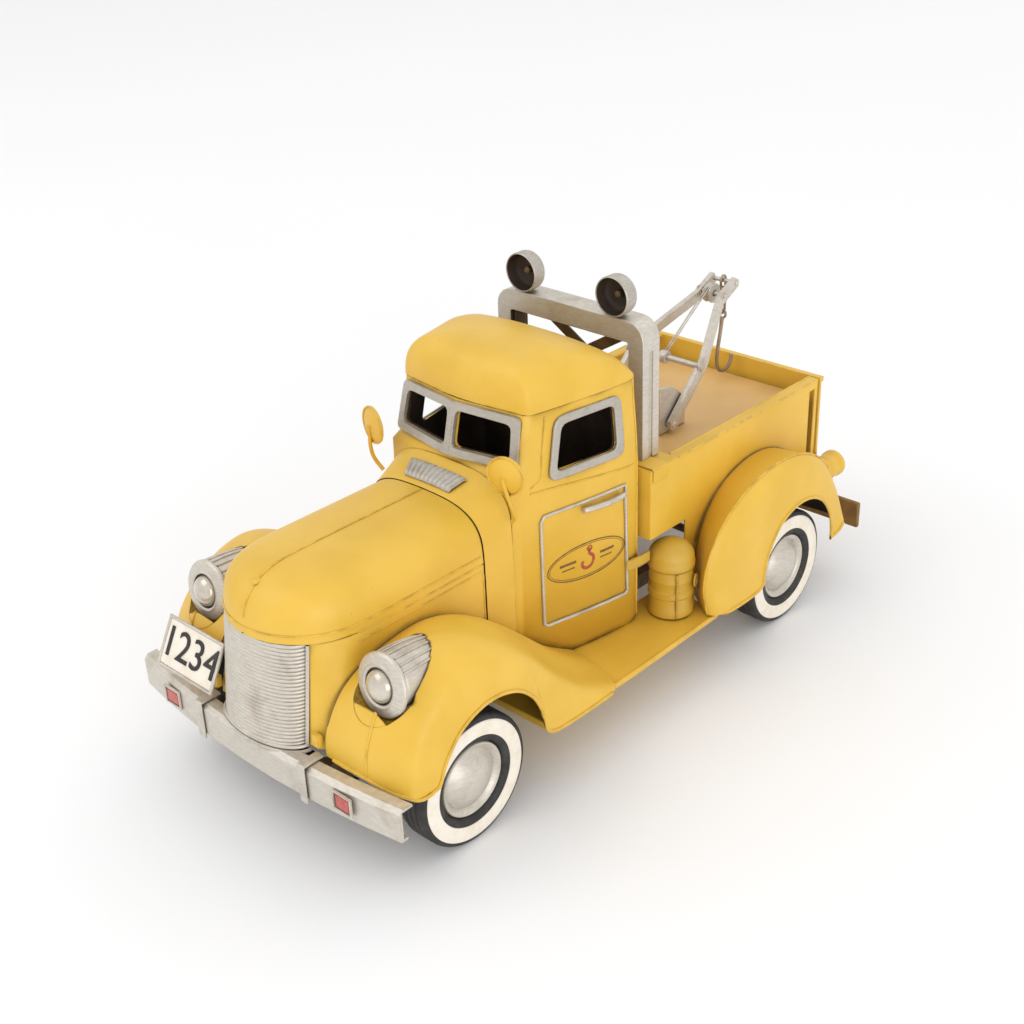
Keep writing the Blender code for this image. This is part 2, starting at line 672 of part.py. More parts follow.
def make_wheels():
    half = TYRE_WIDTH / 2
    rim = TYRE_R / math.cos(math.pi / TYRE_SIDES)
    tyre = [(rim, 5.0), (rim, -5.0), (TYRE_R - 3.0, -half), (HUB_R + 2.0, -half)]
    tyre += [(HUB_R + GAP, -half + 2.0), (HUB_R + GAP, half - 2.0), (HUB_R + 2.0, half)]
    tyre += [(TYRE_R - 3.0, half), (rim, 5.0)]
    dome = [(0.0, 11.0), (8.0, 9.9), (12.8, 7.0), (14.0, 5.2), (18.6, 7.2), (HUB_R, 6.4)]
    hub = dome + [(HUB_R, -6.0), (17.0, -6.0), (16.0, 2.6), (AXLE_R + 2.0, 2.6), (AXLE_R + 2.0, -9.0)]
    hub += [(AXLE_R + 0.4, -9.0), (AXLE_R + 0.4, 6.2), (0.0, 6.2)]
    for name, y in (("front", 0.0), ("rear", WHEELBASE)):
        for side, label in ((1, "left"), (-1, "right")):
            centre = (side * WHEEL_X, y, TYRE_R)
            axis = "X" if side > 0 else "-X"
            wheel = turned(f"tyre_{name}_{label}", tyre, BLACK, centre, axis, TYRE_SIDES)
            wheel.rotation_mode = "ZYX"
            wheel.rotation_euler.z = math.pi / TYRE_SIDES
            turned(f"hub_{name}_{label}", hub, SILVER, centre, axis, 16)


# Bumpers, lamps and plate
def bumper_y(x):
    return FRONT_Y + BUMPER_SWEEP * (x / BUMPER_HALF) ** 2


def make_bumpers():
    stations = [-BUMPER_HALF + 2 * BUMPER_HALF * k / 12 for k in range(13)]
    profile = ((0.0, BUMPER_LOW), (0.0, BUMPER_HIGH), (8.0, BUMPER_HIGH), (8.0, BUMPER_HIGH - 1.4))
    profile += ((1.5, BUMPER_HIGH - 1.4), (1.5, BUMPER_LOW + 1.4), (4.0, BUMPER_LOW + 1.4), (4.0, BUMPER_LOW))
    rings = [[Vector((x, bumper_y(x) + dy, z)) for dy, z in profile] for x in stations]
    add_object("front_bumper", loft(rings), SILVER)
    add_object("rear_bumper", box((-89.0, 341.0, 29.0), (89.0, REAR_Y, 46.0)), BROWN)
    for side, label in ((1, "left"), (-1, "right")):
        x = 39.5
        y = bumper_y(x)
        clasp = [(y - 1.4, 37.5), (y - 0.4, 37.5), (y - 0.4, BUMPER_HIGH + GAP), (-53.4, BUMPER_HIGH + GAP)]
        clasp += [(-53.4, BUMPER_HIGH + 1.8), (y - 0.8, BUMPER_HIGH + 1.8), (y - 1.4, BUMPER_HIGH + 1.2)]
        clasp_bm = plate(clasp, "X", x - 2.6, x + 2.6)
        add_object(f"overrider_{label}", clasp_bm if side > 0 else mirrored(clasp_bm), SILVER)
        lens = box((60.5, bumper_y(65.0) - 1.6, 45.0), (70.5, bumper_y(65.0) - 0.6, 53.0))
        add_object(f"reflector_{label}", lens if side > 0 else mirrored(lens), RED)
        tail = [(0.0, 9.0), (5.5, 8.6), (8.2, 7.0), (8.2, 4.6), (7.6, 4.2), (7.6, -10.0), (0.0, -10.0)]
        turned(f"tail_light_{label}", tail, YELLOW, (side * 71.4, 330.0, 71.0), "Y", 20)


def make_plate():
    tilt = Matrix.Rotation(math.radians(-28.0), 3, "X")
    centre = Vector((-51.5, -57.5, 78.0))
    outline = rounded([(-21.0, -12.0), (21.0, -12.0), (21.0, 12.0), (-21.0, 12.0)], 1.5, 3)
    bm = plate(outline, "Y", -0.7, 0.7)
    rim = [[Vector((x, y, z)) for x, z in edge] for y, edge in _plate_rim(outline)]
    bm.transform(Matrix.Translation(centre) @ tilt.to_4x4())
    board = add_object("licence_plate", bm, WHITE)
    rim_bm = ring_solid(rim)
    rim_bm.transform(Matrix.Translation(centre) @ tilt.to_4x4())
    join(board, rim_bm, "rim")


def _plate_rim(outline):
    outer = shrunk(outline, -1.6)
    inner = shrunk(outline, 0.8)
    return ((-1.6, outer), (-1.6, inner), (1.6, inner), (1.6, outer))


def make_headlights():
    for side, label in ((1, "left"), (-1, "right")):
        centre = (side * LAMP[0], LAMP[1], LAMP[2])
        inside = [(13.2, LAMP_SHELL[0][1]), (13.2, 8.0), (12.0, 22.0), (8.4, 31.0), (0.0, 34.0)]
        profile = list(reversed(LAMP_SHELL)) + inside
        shell = turned(f"headlight_shell_{label}", profile, SILVER, centre, "Y", 20)
        ahead = box((-20.0, -12.0, -20.0), (20.0, 1.3, 20.0))
        ahead.transform(Matrix.Translation(centre) @ Matrix.Rotation(math.radians(-LAMP_TILT), 4, "X"))
        cut(shell, ahead, "tilted_rim")
        bezel = [(0.0, 7.0), (5.0, 6.0), (8.6, 3.4), (9.4, 1.6), (10.4, 2.8), (12.0, 3.4)]
        bezel += [(14.4, 2.6), (LAMP_R, 0.8), (LAMP_R, -0.4), (12.0, -0.8), (0.0, -0.8)]
        lens = turned(f"headlight_lens_{label}", bezel, SILVER, centre, "-Y", 20)
        lens.rotation_euler = (math.radians(90.0 - LAMP_TILT), 0.0, 0.0)


def make_mirrors():
    """A round dished mirror on a wire stalk, screwed to the corner of the cowl."""
    for side, label in ((1, "left"), (-1, "right")):
        head = Vector((side * 48.0, 70.0, 158.6))
        turn = Matrix.Rotation(math.radians(14.0 * side), 4, "Z")
        disc = bmesh.new()
        bmesh.ops.create_uvsphere(disc, u_segments=16, v_segments=8, radius=1.0)
        bmesh.ops.scale(disc, vec=(10.6, 2.4, 10.6), verts=disc.verts)
        disc.transform(Matrix.Translation(head) @ turn)
        mirror = add_object(f"mirror_{label}", disc, YELLOW)
        stalk = [(side * 48.0, 69.0, 158.6), (side * 49.6, 69.0, 150.0), (side * 51.0, 70.4, 142.0)]
        stalk += [(side * 50.4, 73.0, 135.0), (side * 47.0, 74.0, 131.0)]
        join(mirror, tube_mesh(stalk, 1.3), "stalk")


# Openings' frames and cab fittings
def band_on(surface_point, outer, inner, low, high):
    """A frame that lies on a curved wall, between an outer and an inner outline."""
    loops = []
    for outline, lift in ((outer, low), (outer, high), (inner, high), (inner, low)):
        loops.append([surface_point(u, v, lift) for u, v in outline])
    return ring_solid(loops)


def make_trims():
    side_outer = rounded([(99.5, 143.5), (149.0, 143.8), (149.0, 177.5), (106.5, 177.2)], 6.0)
    side_inner = rounded(SIDE_OPENING, 4.0)
    for side, label in ((1, "left"), (-1, "right")):
        def on_side(y, z, lift, side=side):
            return Vector((side * (cab_side(y, z) + lift), y, z))
        frame = band_on(on_side, side_outer, side_inner, 0.4, 1.9)
        add_object(f"window_frame_{label}", frame, SILVER)
        spots = ((147.0, 121.5, 2.6), (143.0, 121.0, 3.4), (130.0, 121.2, 3.8), (119.0, 121.8, 3.0))
        grip = [(side * (cab_side(y, 121.0) + lift), y, z) for y, z, lift in spots]
        add_object(f"door_handle_{label}", tube_mesh(grip, 1.7), SILVER)
    panes = []
    for side in (1, -1):
        def on_screen(x, z, lift, side=side):
            return Vector((side * x, cab_front(x, z) - lift, z))
        outer = rounded([(-1.2, 153.2), (43.0, 154.6), (41.0, 180.6), (-1.2, 181.0)], 3.0)
        panes.append(band_on(on_screen, outer, rounded(SCREEN_OPENING, 3.5), 0.5, 2.4))
    frame = add_object("windshield_frame", panes[0], SILVER)
    join(frame, panes[1], "right_pane")
    rows = []
    for y, half in ((61.5, 16.0), (66.5, 18.0), (71.0, 20.0)):
        spots = [half * (k / 4 - 1) for k in range(9)]
        rows.append([Vector((x, y, _cowl_top(x, y) + 1.8)) for x in spots])
    sheet_metal(add_object("cowl_vent", surface(rows), SILVER))


def _cowl_top(x, y):
    t = (y - COWL_FRONT_Y) / (CAB_FRONT_Y - COWL_FRONT_Y)
    power = HOOD_POWER - 0.1 * t
    top = BONNET_TOP + 0.4 + 10.0 * t
    across = (abs(x) / body_half(y)) ** (1 / power)
    return BONNET_EDGE + (top - BONNET_EDGE) * math.sqrt(1 - across**2) ** power


def make_canister():
    x, y = 66.0, 180.5
    body = [(0.0, 67.0), (11.4, 67.0), (12.2, 66.0), (12.2, 54.0), (12.8, 53.4), (12.8, 50.6), (12.2, 50.0)]
    body += [(12.2, 44.0), (12.8, 43.4), (12.8, BOARD_TOP + GAP), (0.0, BOARD_TOP + GAP)]
    turned("canister", body, YELLOW, (x, y, 0.0), "Z", 24)
    lid = [(0.0, 82.0), (5.0, 81.4), (9.4, 79.2), (12.2, 75.6), (13.2, 71.5), (13.2, 67.4), (0.0, 67.4)]
    turned("canister_lid", lid, YELLOW, (x, y, 0.0), "Z", 24)
    outline = [(58.6, 150.0), (60.4, 153.0), (61.4, 160.0), (61.4, 167.4)]
    outline += [(60.0, 167.9), (59.9, 160.0), (58.6, 155.0)]
    add_object("canister_strap", plate(outline, "Z", 73.0, 79.0), YELLOW)


# Tower, boom and hook
def portal(half, top, radius):
    right = [(half, 128.4)] + arc((half - radius, top - radius), radius, 0.0, 90.0, 6)
    left = [(-x, z) for x, z in reversed(right)]
    return right + left


def make_tower():
    outer = portal(TOWER_HALF, TOWER_TOP, 11.0)
    inner = portal(TOWER_HALF - 10.0, TOWER_TOP - 12.0, 1.5)
    outline = outer + list(reversed(inner))
    tower = add_object("tower_frame", plate(outline, "Y", *TOWER_Y), SILVER)
    channel_outer = portal(TOWER_HALF - 1.4, TOWER_TOP - 1.4, 9.6)
    channel_outer = [(x, max(z, 120.0) if z > 129.0 else 120.0) for x, z in channel_outer]
    inner_edge = portal(TOWER_HALF - 12.0, TOWER_TOP - 14.0, 1.0)
    channel_inner = [(x, z if z > 129.0 else 120.0) for x, z in inner_edge]
    channel_y = (TOWER_Y[0] + 1.4, TOWER_Y[1] - 1.4)
    channel = plate(channel_outer + list(reversed(channel_inner)), "Y", *channel_y)
    cut(tower, channel, "channel")
    left_groove = box((51.2, 177.6, 100.0), (53.0, 180.4, 190.0))
    right_groove = box((-53.0, 177.6, 100.0), (-51.2, 180.4, 190.0))
    cut(tower, merged(left_groove, right_groove), "grooves")
    brace = add_object("tower_brace", _strap(-41.0, 200.0, 41.0, 150.0), BROWN)
    join(brace, _strap(41.0, 200.0, -41.0, 150.0), "cross")
    for side, label in ((1, "left"), (-1, "right")):
        cup = [(0.0, 5.0), (8.6, 5.0), (10.4, 4.2), (11.0, 2.6), (11.0, -4.6)]
        cup += [(10.0, -4.6), (10.0, 2.2), (0.0, 3.4)]
        turned(f"work_lamp_{label}", cup, SILVER, (side * 32.0, 175.0, TOWER_TOP + 11.6), "Y", 24)


def _strap(x0, z0, x1, z1):
    run = Vector((x1 - x0, z1 - z0)).normalized() * 3.2
    across = Vector((-run.y, run.x))
    a = Vector((x0, z0))
    b = Vector((x1, z1))
    corners = [a - across, b - across, b + across, a + across]
    return plate([tuple(c) for c in corners], "Y", 187.0, 188.2)


def on_boom(x, spot):
    return (x, spot[0], spot[1])


def make_boom():
    pivot = on_boom(0.0, BOOM_PIVOT)
    frame = None
    for side in (1, -1):
        foot = side * BOOM_FOOT_X
        head = side * BOOM_HEAD_X
        run = [on_boom(foot, BOOM_PIVOT), on_boom(foot, BOOM_KNEE)]
        run += [on_boom(head, BOOM_BEND), on_boom(head, BOOM_TIP)]
        arm = bar(run, 3.4, 6.4)
        if frame is None:
            frame = add_object("boom_frame", arm, SILVER, origin=pivot)
        else:
            join(frame, arm, "right_arm")
    join(frame, rod(on_boom(0.0, (258.0, 149.0)), 1.8, 2 * BOOM_FOOT_X, sides=14), "cross_rod")
    join(frame, rod(on_boom(0.0, PULLEY_AXIS), 1.4, 2 * BOOM_HEAD_X + 5.0, sides=12), "pulley_pin")
    join(frame, rod(on_boom(0.0, LINK_AXIS), 1.3, 2 * BOOM_HEAD_X + 5.0, sides=12), "tip_pin")
    for side, label in ((1, "left"), (-1, "right")):
        join(frame, rod((side * 23.0, *BOOM_PIVOT), 1.6, 8.0, sides=12), f"foot_pin{side}")
        quadrant = [(226.0, DECK_TOP + GAP), (250.0, DECK_TOP + GAP)]
        quadrant += arc((229.0, 123.0), 21.0, 0.0, 90.0, 6) + [(226.0, 144.0)]
        low, high = sorted((side * 20.0, side * 21.6))
        bracket = add_object(f"boom_bracket_{label}", plate(quadrant, "X", low, high), SILVER)
        cut(bracket, rod((side * 21.0, *BOOM_PIVOT), 2.0, 6.0, sides=12), "pin_hole")
    sheave = [(2.0, 2.4), (5.8, 2.4), (4.4, 0.8), (4.4, -0.8), (5.8, -2.4), (2.0, -2.4), (2.0, 2.4)]
    turned("pulley", sheave, SILVER, on_boom(0.0, PULLEY_AXIS), "X", 20)
    wire = [(0.0, 259.5, 151.6), (0.0, 281.0, 167.0), (0.0, 299.6, 179.9)]
    tube("hoist_wire", wire, 0.6, SILVER, 2)
    link = []
    for k in range(20):
        a = 2 * math.pi * k / 20
        stretch = 8.5 if math.cos(a) > 0 else -8.5
        z = LINK_MIDDLE_Z + stretch + 3.2 * math.cos(a)
        link.append((0.0, LINK_AXIS[0] + 3.2 * math.sin(a), z))
    tube("chain_link", link, 0.9, BROWN, 2, closed=True)
    turns = [math.radians(200 + 320 * k / 12) for k in range(13)]
    eye = [(2.6 * math.sin(a), HOOK_AXIS[0], HOOK_AXIS[1] - 1.6 + 2.6 * math.cos(a)) for a in turns]
    shank = [(0.0, 315.0, 156.7), (0.0, 313.6, 147.0), (0.0, 311.4, 138.0), (0.0, 310.4, 130.0)]
    bowl = [(0.0, y, z) for y, z in arc((318.6, 128.2), 7.8, 190.0, 340.0, 8)]
    stem = tube_mesh(shank + bowl + [(0.0, 326.4, 129.0)], 1.3)
    hook = add_object("tow_hook", stem, BROWN, origin=(0.0, *HOOK_AXIS))
    join(hook, tube_mesh(eye, 0.9), "eye")


make_cab()
make_roof()
make_bonnet()
make_cowl()
make_nose()
make_front_fenders()
make_rear_fenders()
make_running_boards()
make_bed()
make_chassis()
make_wheels()
make_bumpers()
make_plate()
make_headlights()
make_mirrors()
make_trims()
make_canister()
make_tower()
make_boom()
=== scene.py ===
import math

import bmesh
import bpy
from mathutils import Matrix, Vector
from mathutils.bvhtree import BVHTree


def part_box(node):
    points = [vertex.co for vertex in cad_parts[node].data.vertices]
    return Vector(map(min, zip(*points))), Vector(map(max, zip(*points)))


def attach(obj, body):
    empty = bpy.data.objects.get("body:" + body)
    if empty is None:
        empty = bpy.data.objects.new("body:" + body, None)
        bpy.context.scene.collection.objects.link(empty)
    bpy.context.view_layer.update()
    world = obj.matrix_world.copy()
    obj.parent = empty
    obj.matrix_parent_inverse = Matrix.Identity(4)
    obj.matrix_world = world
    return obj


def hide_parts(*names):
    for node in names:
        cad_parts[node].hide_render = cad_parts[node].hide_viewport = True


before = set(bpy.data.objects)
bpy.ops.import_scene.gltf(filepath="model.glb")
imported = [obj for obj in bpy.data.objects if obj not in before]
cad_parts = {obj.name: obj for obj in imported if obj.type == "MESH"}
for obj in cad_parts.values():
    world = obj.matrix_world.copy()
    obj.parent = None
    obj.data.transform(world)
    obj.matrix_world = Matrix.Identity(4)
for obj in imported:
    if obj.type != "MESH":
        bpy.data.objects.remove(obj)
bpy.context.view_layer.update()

# Camera: it looks down on the truck's front left corner from hand height, a little
# out of level, through a slightly long lens.
camera_data = bpy.data.cameras.new("camera")
camera_data.lens = 51.77
camera_data.sensor_width = 36.0
camera = bpy.data.objects.new("camera", camera_data)
bpy.context.scene.collection.objects.link(camera)
bpy.context.scene.camera = camera
azimuth, elevation, lean = (math.radians(angle) for angle in (44.11, 28.02, -2.35))
back = Vector(
    (
        math.sin(azimuth) * math.cos(elevation),
        -math.cos(azimuth) * math.cos(elevation),
        math.sin(elevation),
    )
)
level = Vector((math.cos(azimuth), math.sin(azimuth), 0.0))
upright = back.cross(level)
right = level * math.cos(lean) + upright * math.sin(lean)
up = upright * math.cos(lean) - level * math.sin(lean)
camera.matrix_world = (
    Matrix.Translation((0.4959, -0.5274, 0.4799)) @ Matrix((right, up, back)).transposed().to_4x4()
)


# Floor and light: a white card under a big soft tent, brightest from the upper left.
# A Wire is one socket of a finish: sums on wires make Math nodes, node() any other kind.
class Wire:
    def __init__(self, tree, socket=None):
        self.tree = tree
        self.socket = socket

    def node(self, kind, settings=None, inputs=None, output=0):
        made = self.tree.nodes.new(kind)
        for name, value in (settings or {}).items():
            setattr(made, name, value)
        for name, value in (inputs or {}).items():
            if isinstance(value, Wire):
                self.tree.links.new(value.socket, made.inputs[name])
            else:
                made.inputs[name].default_value = value
        return Wire(self.tree, made.outputs[output])

    def math(self, operation, first, second):
        return self.node("ShaderNodeMath", {"operation": operation}, {0: first, 1: second})

    def __add__(self, other):
        return self.math("ADD", self, other)

    def __radd__(self, other):
        return self.math("ADD", other, self)

    def __rsub__(self, other):
        return self.math("SUBTRACT", other, self)

    def __mul__(self, other):
        return self.math("MULTIPLY", self, other)

    def __rmul__(self, other):
        return self.math("MULTIPLY", other, self)

    def step(self, low, high):
        """0 below low, 1 above high and smooth between."""
        return self.node(
            "ShaderNodeMapRange",
            {"interpolation_type": "SMOOTHSTEP"},
            {"Value": self, "From Min": low, "From Max": high},
        )

    def noise(self, scale, detail=3.0, roughness=0.55):
        places = {"Vector": self, "Scale": scale, "Detail": detail, "Roughness": roughness}
        return self.node("ShaderNodeTexNoise", None, places)

    def mixed(self, first, second):
        """The first colour where this mask is 0 and the second where it is 1."""
        return self.node("ShaderNodeMix", {"data_type": "RGBA"}, {0: self, 6: first, 7: second}, output=2)

    def bump(self, height, strength, distance):
        relief = {"Height": height, "Strength": strength, "Distance": distance}
        return self.node("ShaderNodeBump", None, relief)


def new_finish(name):
    """A material with its Principled shader, and a wire that carries each point's place."""
    finish = bpy.data.materials.new(name)
    finish.use_nodes = True
    start = Wire(finish.node_tree)
    place = start.node("ShaderNodeTexCoord", None, None, output=3)
    return finish, finish.node_tree.nodes["Principled BSDF"], place


def feed(shader, **inputs):
    """Set or link the shader's sockets, given as Base_Color and so on."""
    for name, value in inputs.items():
        socket = shader.inputs[name.replace("_", " ")]
        if isinstance(value, Wire):
            value.tree.links.new(value.socket, socket)
        else:
            socket.default_value = value


card, card_shader, card_place = new_finish("white_card")
feed(
    card_shader,
    Base_Color=card_place.noise(3.0, 2.0).mixed((0.92, 0.92, 0.925, 1.0), (0.94, 0.94, 0.945, 1.0)),
    Roughness=0.8,
)
floor_bm = bmesh.new()
bmesh.ops.create_grid(floor_bm, x_segments=2, y_segments=2, size=8.0)
floor_mesh = bpy.data.meshes.new("floor")
floor_bm.to_mesh(floor_mesh)
floor_bm.free()
floor_mesh.materials.append(card)
floor = bpy.data.objects.new("floor", floor_mesh)
bpy.context.scene.collection.objects.link(floor)

world = bpy.data.worlds.new("studio")
bpy.context.scene.world = world
world.use_nodes = True
world.node_tree.nodes["Background"].inputs["Color"].default_value = (1.0, 1.0, 1.0, 1.0)
world.node_tree.nodes["Background"].inputs["Strength"].default_value = 0.93
bpy.context.scene.view_settings.view_transform = "Standard"

for lamp_name, spot, size, power in (
    ("key", (-0.9, -1.3, 1.7), 1.4, 8.0),
    ("fill", (2.4, -1.2, 0.6), 1.6, 22.0),
    ("back", (0.3, 2.2, 2.2), 2.2, 6.0),
):
    light = bpy.data.lights.new(lamp_name, "AREA")
    light.size = size
    light.energy = power
    lamp = bpy.data.objects.new(lamp_name, light)
    lamp.matrix_world = Matrix.Translation(spot) @ Vector(spot).to_track_quat("Z", "Y").to_matrix().to_4x4()
    bpy.context.scene.collection.objects.link(lamp)


# Frame under the truck: two steel rails with cross members and the two axles, brazed
# together and varnished dark brown, rubbed bright along the edges.
def seam_shade_and_wash(place, reach):
    """1 deep in a seam or corner within reach of another face, 0 in the open. It places painted shade together
    with the brown wash.
    """
    open_air = place.node("ShaderNodeAmbientOcclusion", {"samples": 8}, {"Distance": reach}, output=1)
    return (1.0 - open_air).step(0.28, 0.85)


def edge_mask(place, radius):
    """1 along sharp edges, where paint wears and the brown wash gathers."""
    rounded = place.node("ShaderNodeBevel", {"samples": 4}, {"Radius": radius})
    flat = place.node("ShaderNodeNewGeometry", None, None, output=1)
    facing = place.node("ShaderNodeVectorMath", {"operation": "DOT_PRODUCT"}, {0: rounded, 1: flat}, output=1)
    return (1.0 - facing).step(0.004, 0.07)


def brown_finish(name, colour, lighter, roughness=0.5, metallic=0.3):
    """Varnish over bare steel, cloudy, and rubbed lighter along its edges."""
    finish, shader, place = new_finish(name)
    cloud = place.noise(70.0, 5.0, 0.65)
    fine = place.noise(600.0)
    rub = edge_mask(place, 0.0006) * cloud.step(0.35, 0.6) * 0.6
    base = cloud.step(0.3, 0.75).mixed((*colour, 1.0), (*lighter, 1.0))
    rubbed = tuple(min(1.0, c * 2.2) for c in lighter) + (1.0,)
    feed(
        shader,
        Base_Color=rub.mixed(base, rubbed),
        Metallic=metallic,
        Roughness=roughness + 0.2 * fine,
        Normal=place.bump(fine * 0.2 + cloud * 0.6, 0.4, 0.0008),
    )
    return finish


def refinished(node, finish):
    """Give a CAD node, whose shape is right, a better material."""
    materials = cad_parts[node].data.materials
    materials.clear()
    materials.append(finish)


# Near-black brown for faces inside shells, cups and grooves: painted shade.
painted_shade_brown = brown_finish("inside_painted_shade", (0.020, 0.011, 0.006), (0.050, 0.030, 0.016), 0.55, 0.1)
umber = brown_finish("umber_frame", (0.085, 0.052, 0.022), (0.17, 0.105, 0.045), 0.5, 0.2)
refinished("chassis_frame", umber)


# Wheels: a moulded black rubber tyre with a raised cream band on each side, pressed on
# a turned and silver-painted rim with a domed cap. The tread has two grooves round it.
def mm(x, y, z):
    """A place in millimetres, with y counted from the front axle, in the row frame."""
    return Vector((x, y - 139.0, z)) * 0.001


def piece(name, bm, finish, body, slot, *nodes, angle=40.0):
    """Make an object of a mesh, which rides on a body and may stand for CAD nodes."""
    mesh = bpy.data.meshes.new(name)
    bm.to_mesh(mesh)
    bm.free()
    mesh.materials.append(finish)
    mesh.shade_smooth()
    mesh.set_sharp_from_angle(angle=math.radians(angle))
    made = bpy.data.objects.new(name, mesh)
    bpy.context.scene.collection.objects.link(made)
    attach(made, body)
    if nodes:
        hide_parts(*nodes)
    return made


def spun(profile, centre, axis, steps=64):
    """Spin a profile of (radius, height) in millimetres about an axis through centre."""
    bm = bmesh.new()
    verts = [bm.verts.new(Vector((r, 0.0, h)) * 0.001) for r, h in profile]
    edges = [bm.edges.new(pair) for pair in zip(verts, verts[1:])]
    full_turn = {"cent": (0, 0, 0), "axis": (0, 0, 1), "angle": 2 * math.pi}
    full_turn.update(steps=steps, use_merge=True)
    bmesh.ops.spin(bm, geom=verts + edges, **full_turn)
    bmesh.ops.remove_doubles(bm, verts=bm.verts, dist=0.00001)
    bmesh.ops.recalc_face_normals(bm, faces=bm.faces)
    bm.transform(Matrix.Translation(centre) @ Vector(axis).to_track_quat("Z", "Y").to_matrix().to_4x4())
    return bm


def rubber_finish():
    finish, shader, place = new_finish("black_rubber")
    dust = place.noise(140.0, 5.0, 0.65)
    feed(
        shader,
        Base_Color=dust.step(0.35, 0.8).mixed((0.016, 0.015, 0.014, 1.0), (0.055, 0.050, 0.045, 1.0)),
        Roughness=0.5 + 0.3 * dust,
        Normal=place.bump(place.noise(1500.0, 2.0) * 0.1 + dust * 0.4, 0.4, 0.0006),
    )
    return finish


def cream_finish():
    finish, shader, place = new_finish("cream_band")
    stain = place.noise(120.0, 5.0, 0.65)
    # The band turns brown where other faces are near: painted shade with some brown wash.
    seam = seam_shade_and_wash(place, 0.0025)
    clean = stain.step(0.35, 0.75).mixed((0.86, 0.80, 0.70, 1.0), (0.78, 0.69, 0.55, 1.0))
    feed(
        shader,
        Base_Color=(seam * 0.8).mixed(clean, (0.16, 0.11, 0.06, 1.0)),
        Roughness=0.45 + 0.2 * stain,
        Normal=place.bump(stain, 0.25, 0.0005),
    )
    return finish


def silver_finish(name, tone=0.92, tarnish=0.5, stretch=(1.0, 1.0, 6.0)):
    """Aluminium paint with fine brush marks, a warm tarnish, and brown wash with painted shade in its seams."""
    finish, shader, place = new_finish(name)
    brushed = place.node("ShaderNodeVectorMath", {"operation": "MULTIPLY"}, {0: place, 1: stretch})
    streak = brushed.noise(260.0, 4.0, 0.6)
    cloud = place.noise(60.0, 5.0, 0.6)
    bright = streak.step(0.25, 0.75).mixed(
        (0.60 * tone, 0.55 * tone, 0.47 * tone, 1.0), (0.74 * tone, 0.69 * tone, 0.61 * tone, 1.0)
    )
    dull = (cloud.step(0.5, 0.8) * tarnish).mixed(bright, (0.33 * tone, 0.27 * tone, 0.19 * tone, 1.0))
    # Painted shade and brown wash darken the silver where other faces are near.
    seam = seam_shade_and_wash(place, 0.004) * 0.85
    edge = edge_mask(place, 0.0006) * cloud.step(0.4, 0.7) * 0.7
    wash_and_shade = seam.mixed(dull, (0.10, 0.065, 0.035, 1.0))
    feed(
        shader,
        Base_Color=edge.mixed(wash_and_shade, (0.20, 0.14, 0.08, 1.0)),
        Metallic=0.55 - 0.35 * seam,
        Roughness=0.34 + 0.18 * streak + 0.2 * seam,
        Normal=place.bump(streak * 0.15 + place.noise(45.0, 2.0) * 0.6, 0.45, 0.0008),
    )
    return finish


rubber = rubber_finish()
cream = cream_finish()
silver = silver_finish("aged_silver")
tyre_profile = [(20.4, 6.6), (22.0, 8.2), (24.0, 8.7), (33.0, 8.7), (34.4, 8.0), (34.95, 6.4), (35.0, 4.4)]
tyre_profile += [(34.4, 4.0), (34.4, 3.4), (35.0, 3.0), (35.0, 0.8), (34.4, 0.4)]
tyre_profile += [(r, -h) for r, h in reversed(tyre_profile)] + [(20.4, 6.6)]
band_profile = [(24.2, 8.5), (24.5, 9.0), (26.5, 9.3), (30.2, 9.3), (32.0, 9.0), (32.4, 8.5), (24.2, 8.5)]
cap_profile = [(0.0, 11.0), (4.0, 10.7), (8.0, 9.8), (11.5, 8.2), (14.0, 6.3), (15.4, 4.9), (16.0, 4.6)]
cap_profile += [(17.0, 5.6), (18.4, 7.0), (19.4, 7.1), (20.0, 6.3), (20.0, -6.0)]
cap_profile += [(17.0, -6.0), (16.0, 2.6), (4.5, 2.6), (4.5, -9.0), (2.9, -9.0), (2.9, 6.2), (0.0, 6.2)]
for end, axle_y in (("front", 0.0), ("rear", 264.0)):
    for side, label in ((1, "left"), (-1, "right")):
        hub = mm(side * 79.0, axle_y, 35.0)
        outward = (side, 0.0, 0.0)
        corner = f"{end}_{label}"
        wheel = f"wheel_{corner}"
        tread = spun(tyre_profile, hub, outward, 96)
        piece(f"tyre_rubber_{corner}", tread, rubber, wheel, "black_rubber", f"tyre_{corner}", angle=50.0)
        piece(f"tyre_band_{corner}", spun(band_profile, hub, outward, 96), cream, wheel, "white_enamel")
        cap = spun(cap_profile, hub, outward)
        piece(f"wheel_cap_{corner}", cap, silver, wheel, "silver_paint", f"hub_{corner}", angle=42.0)


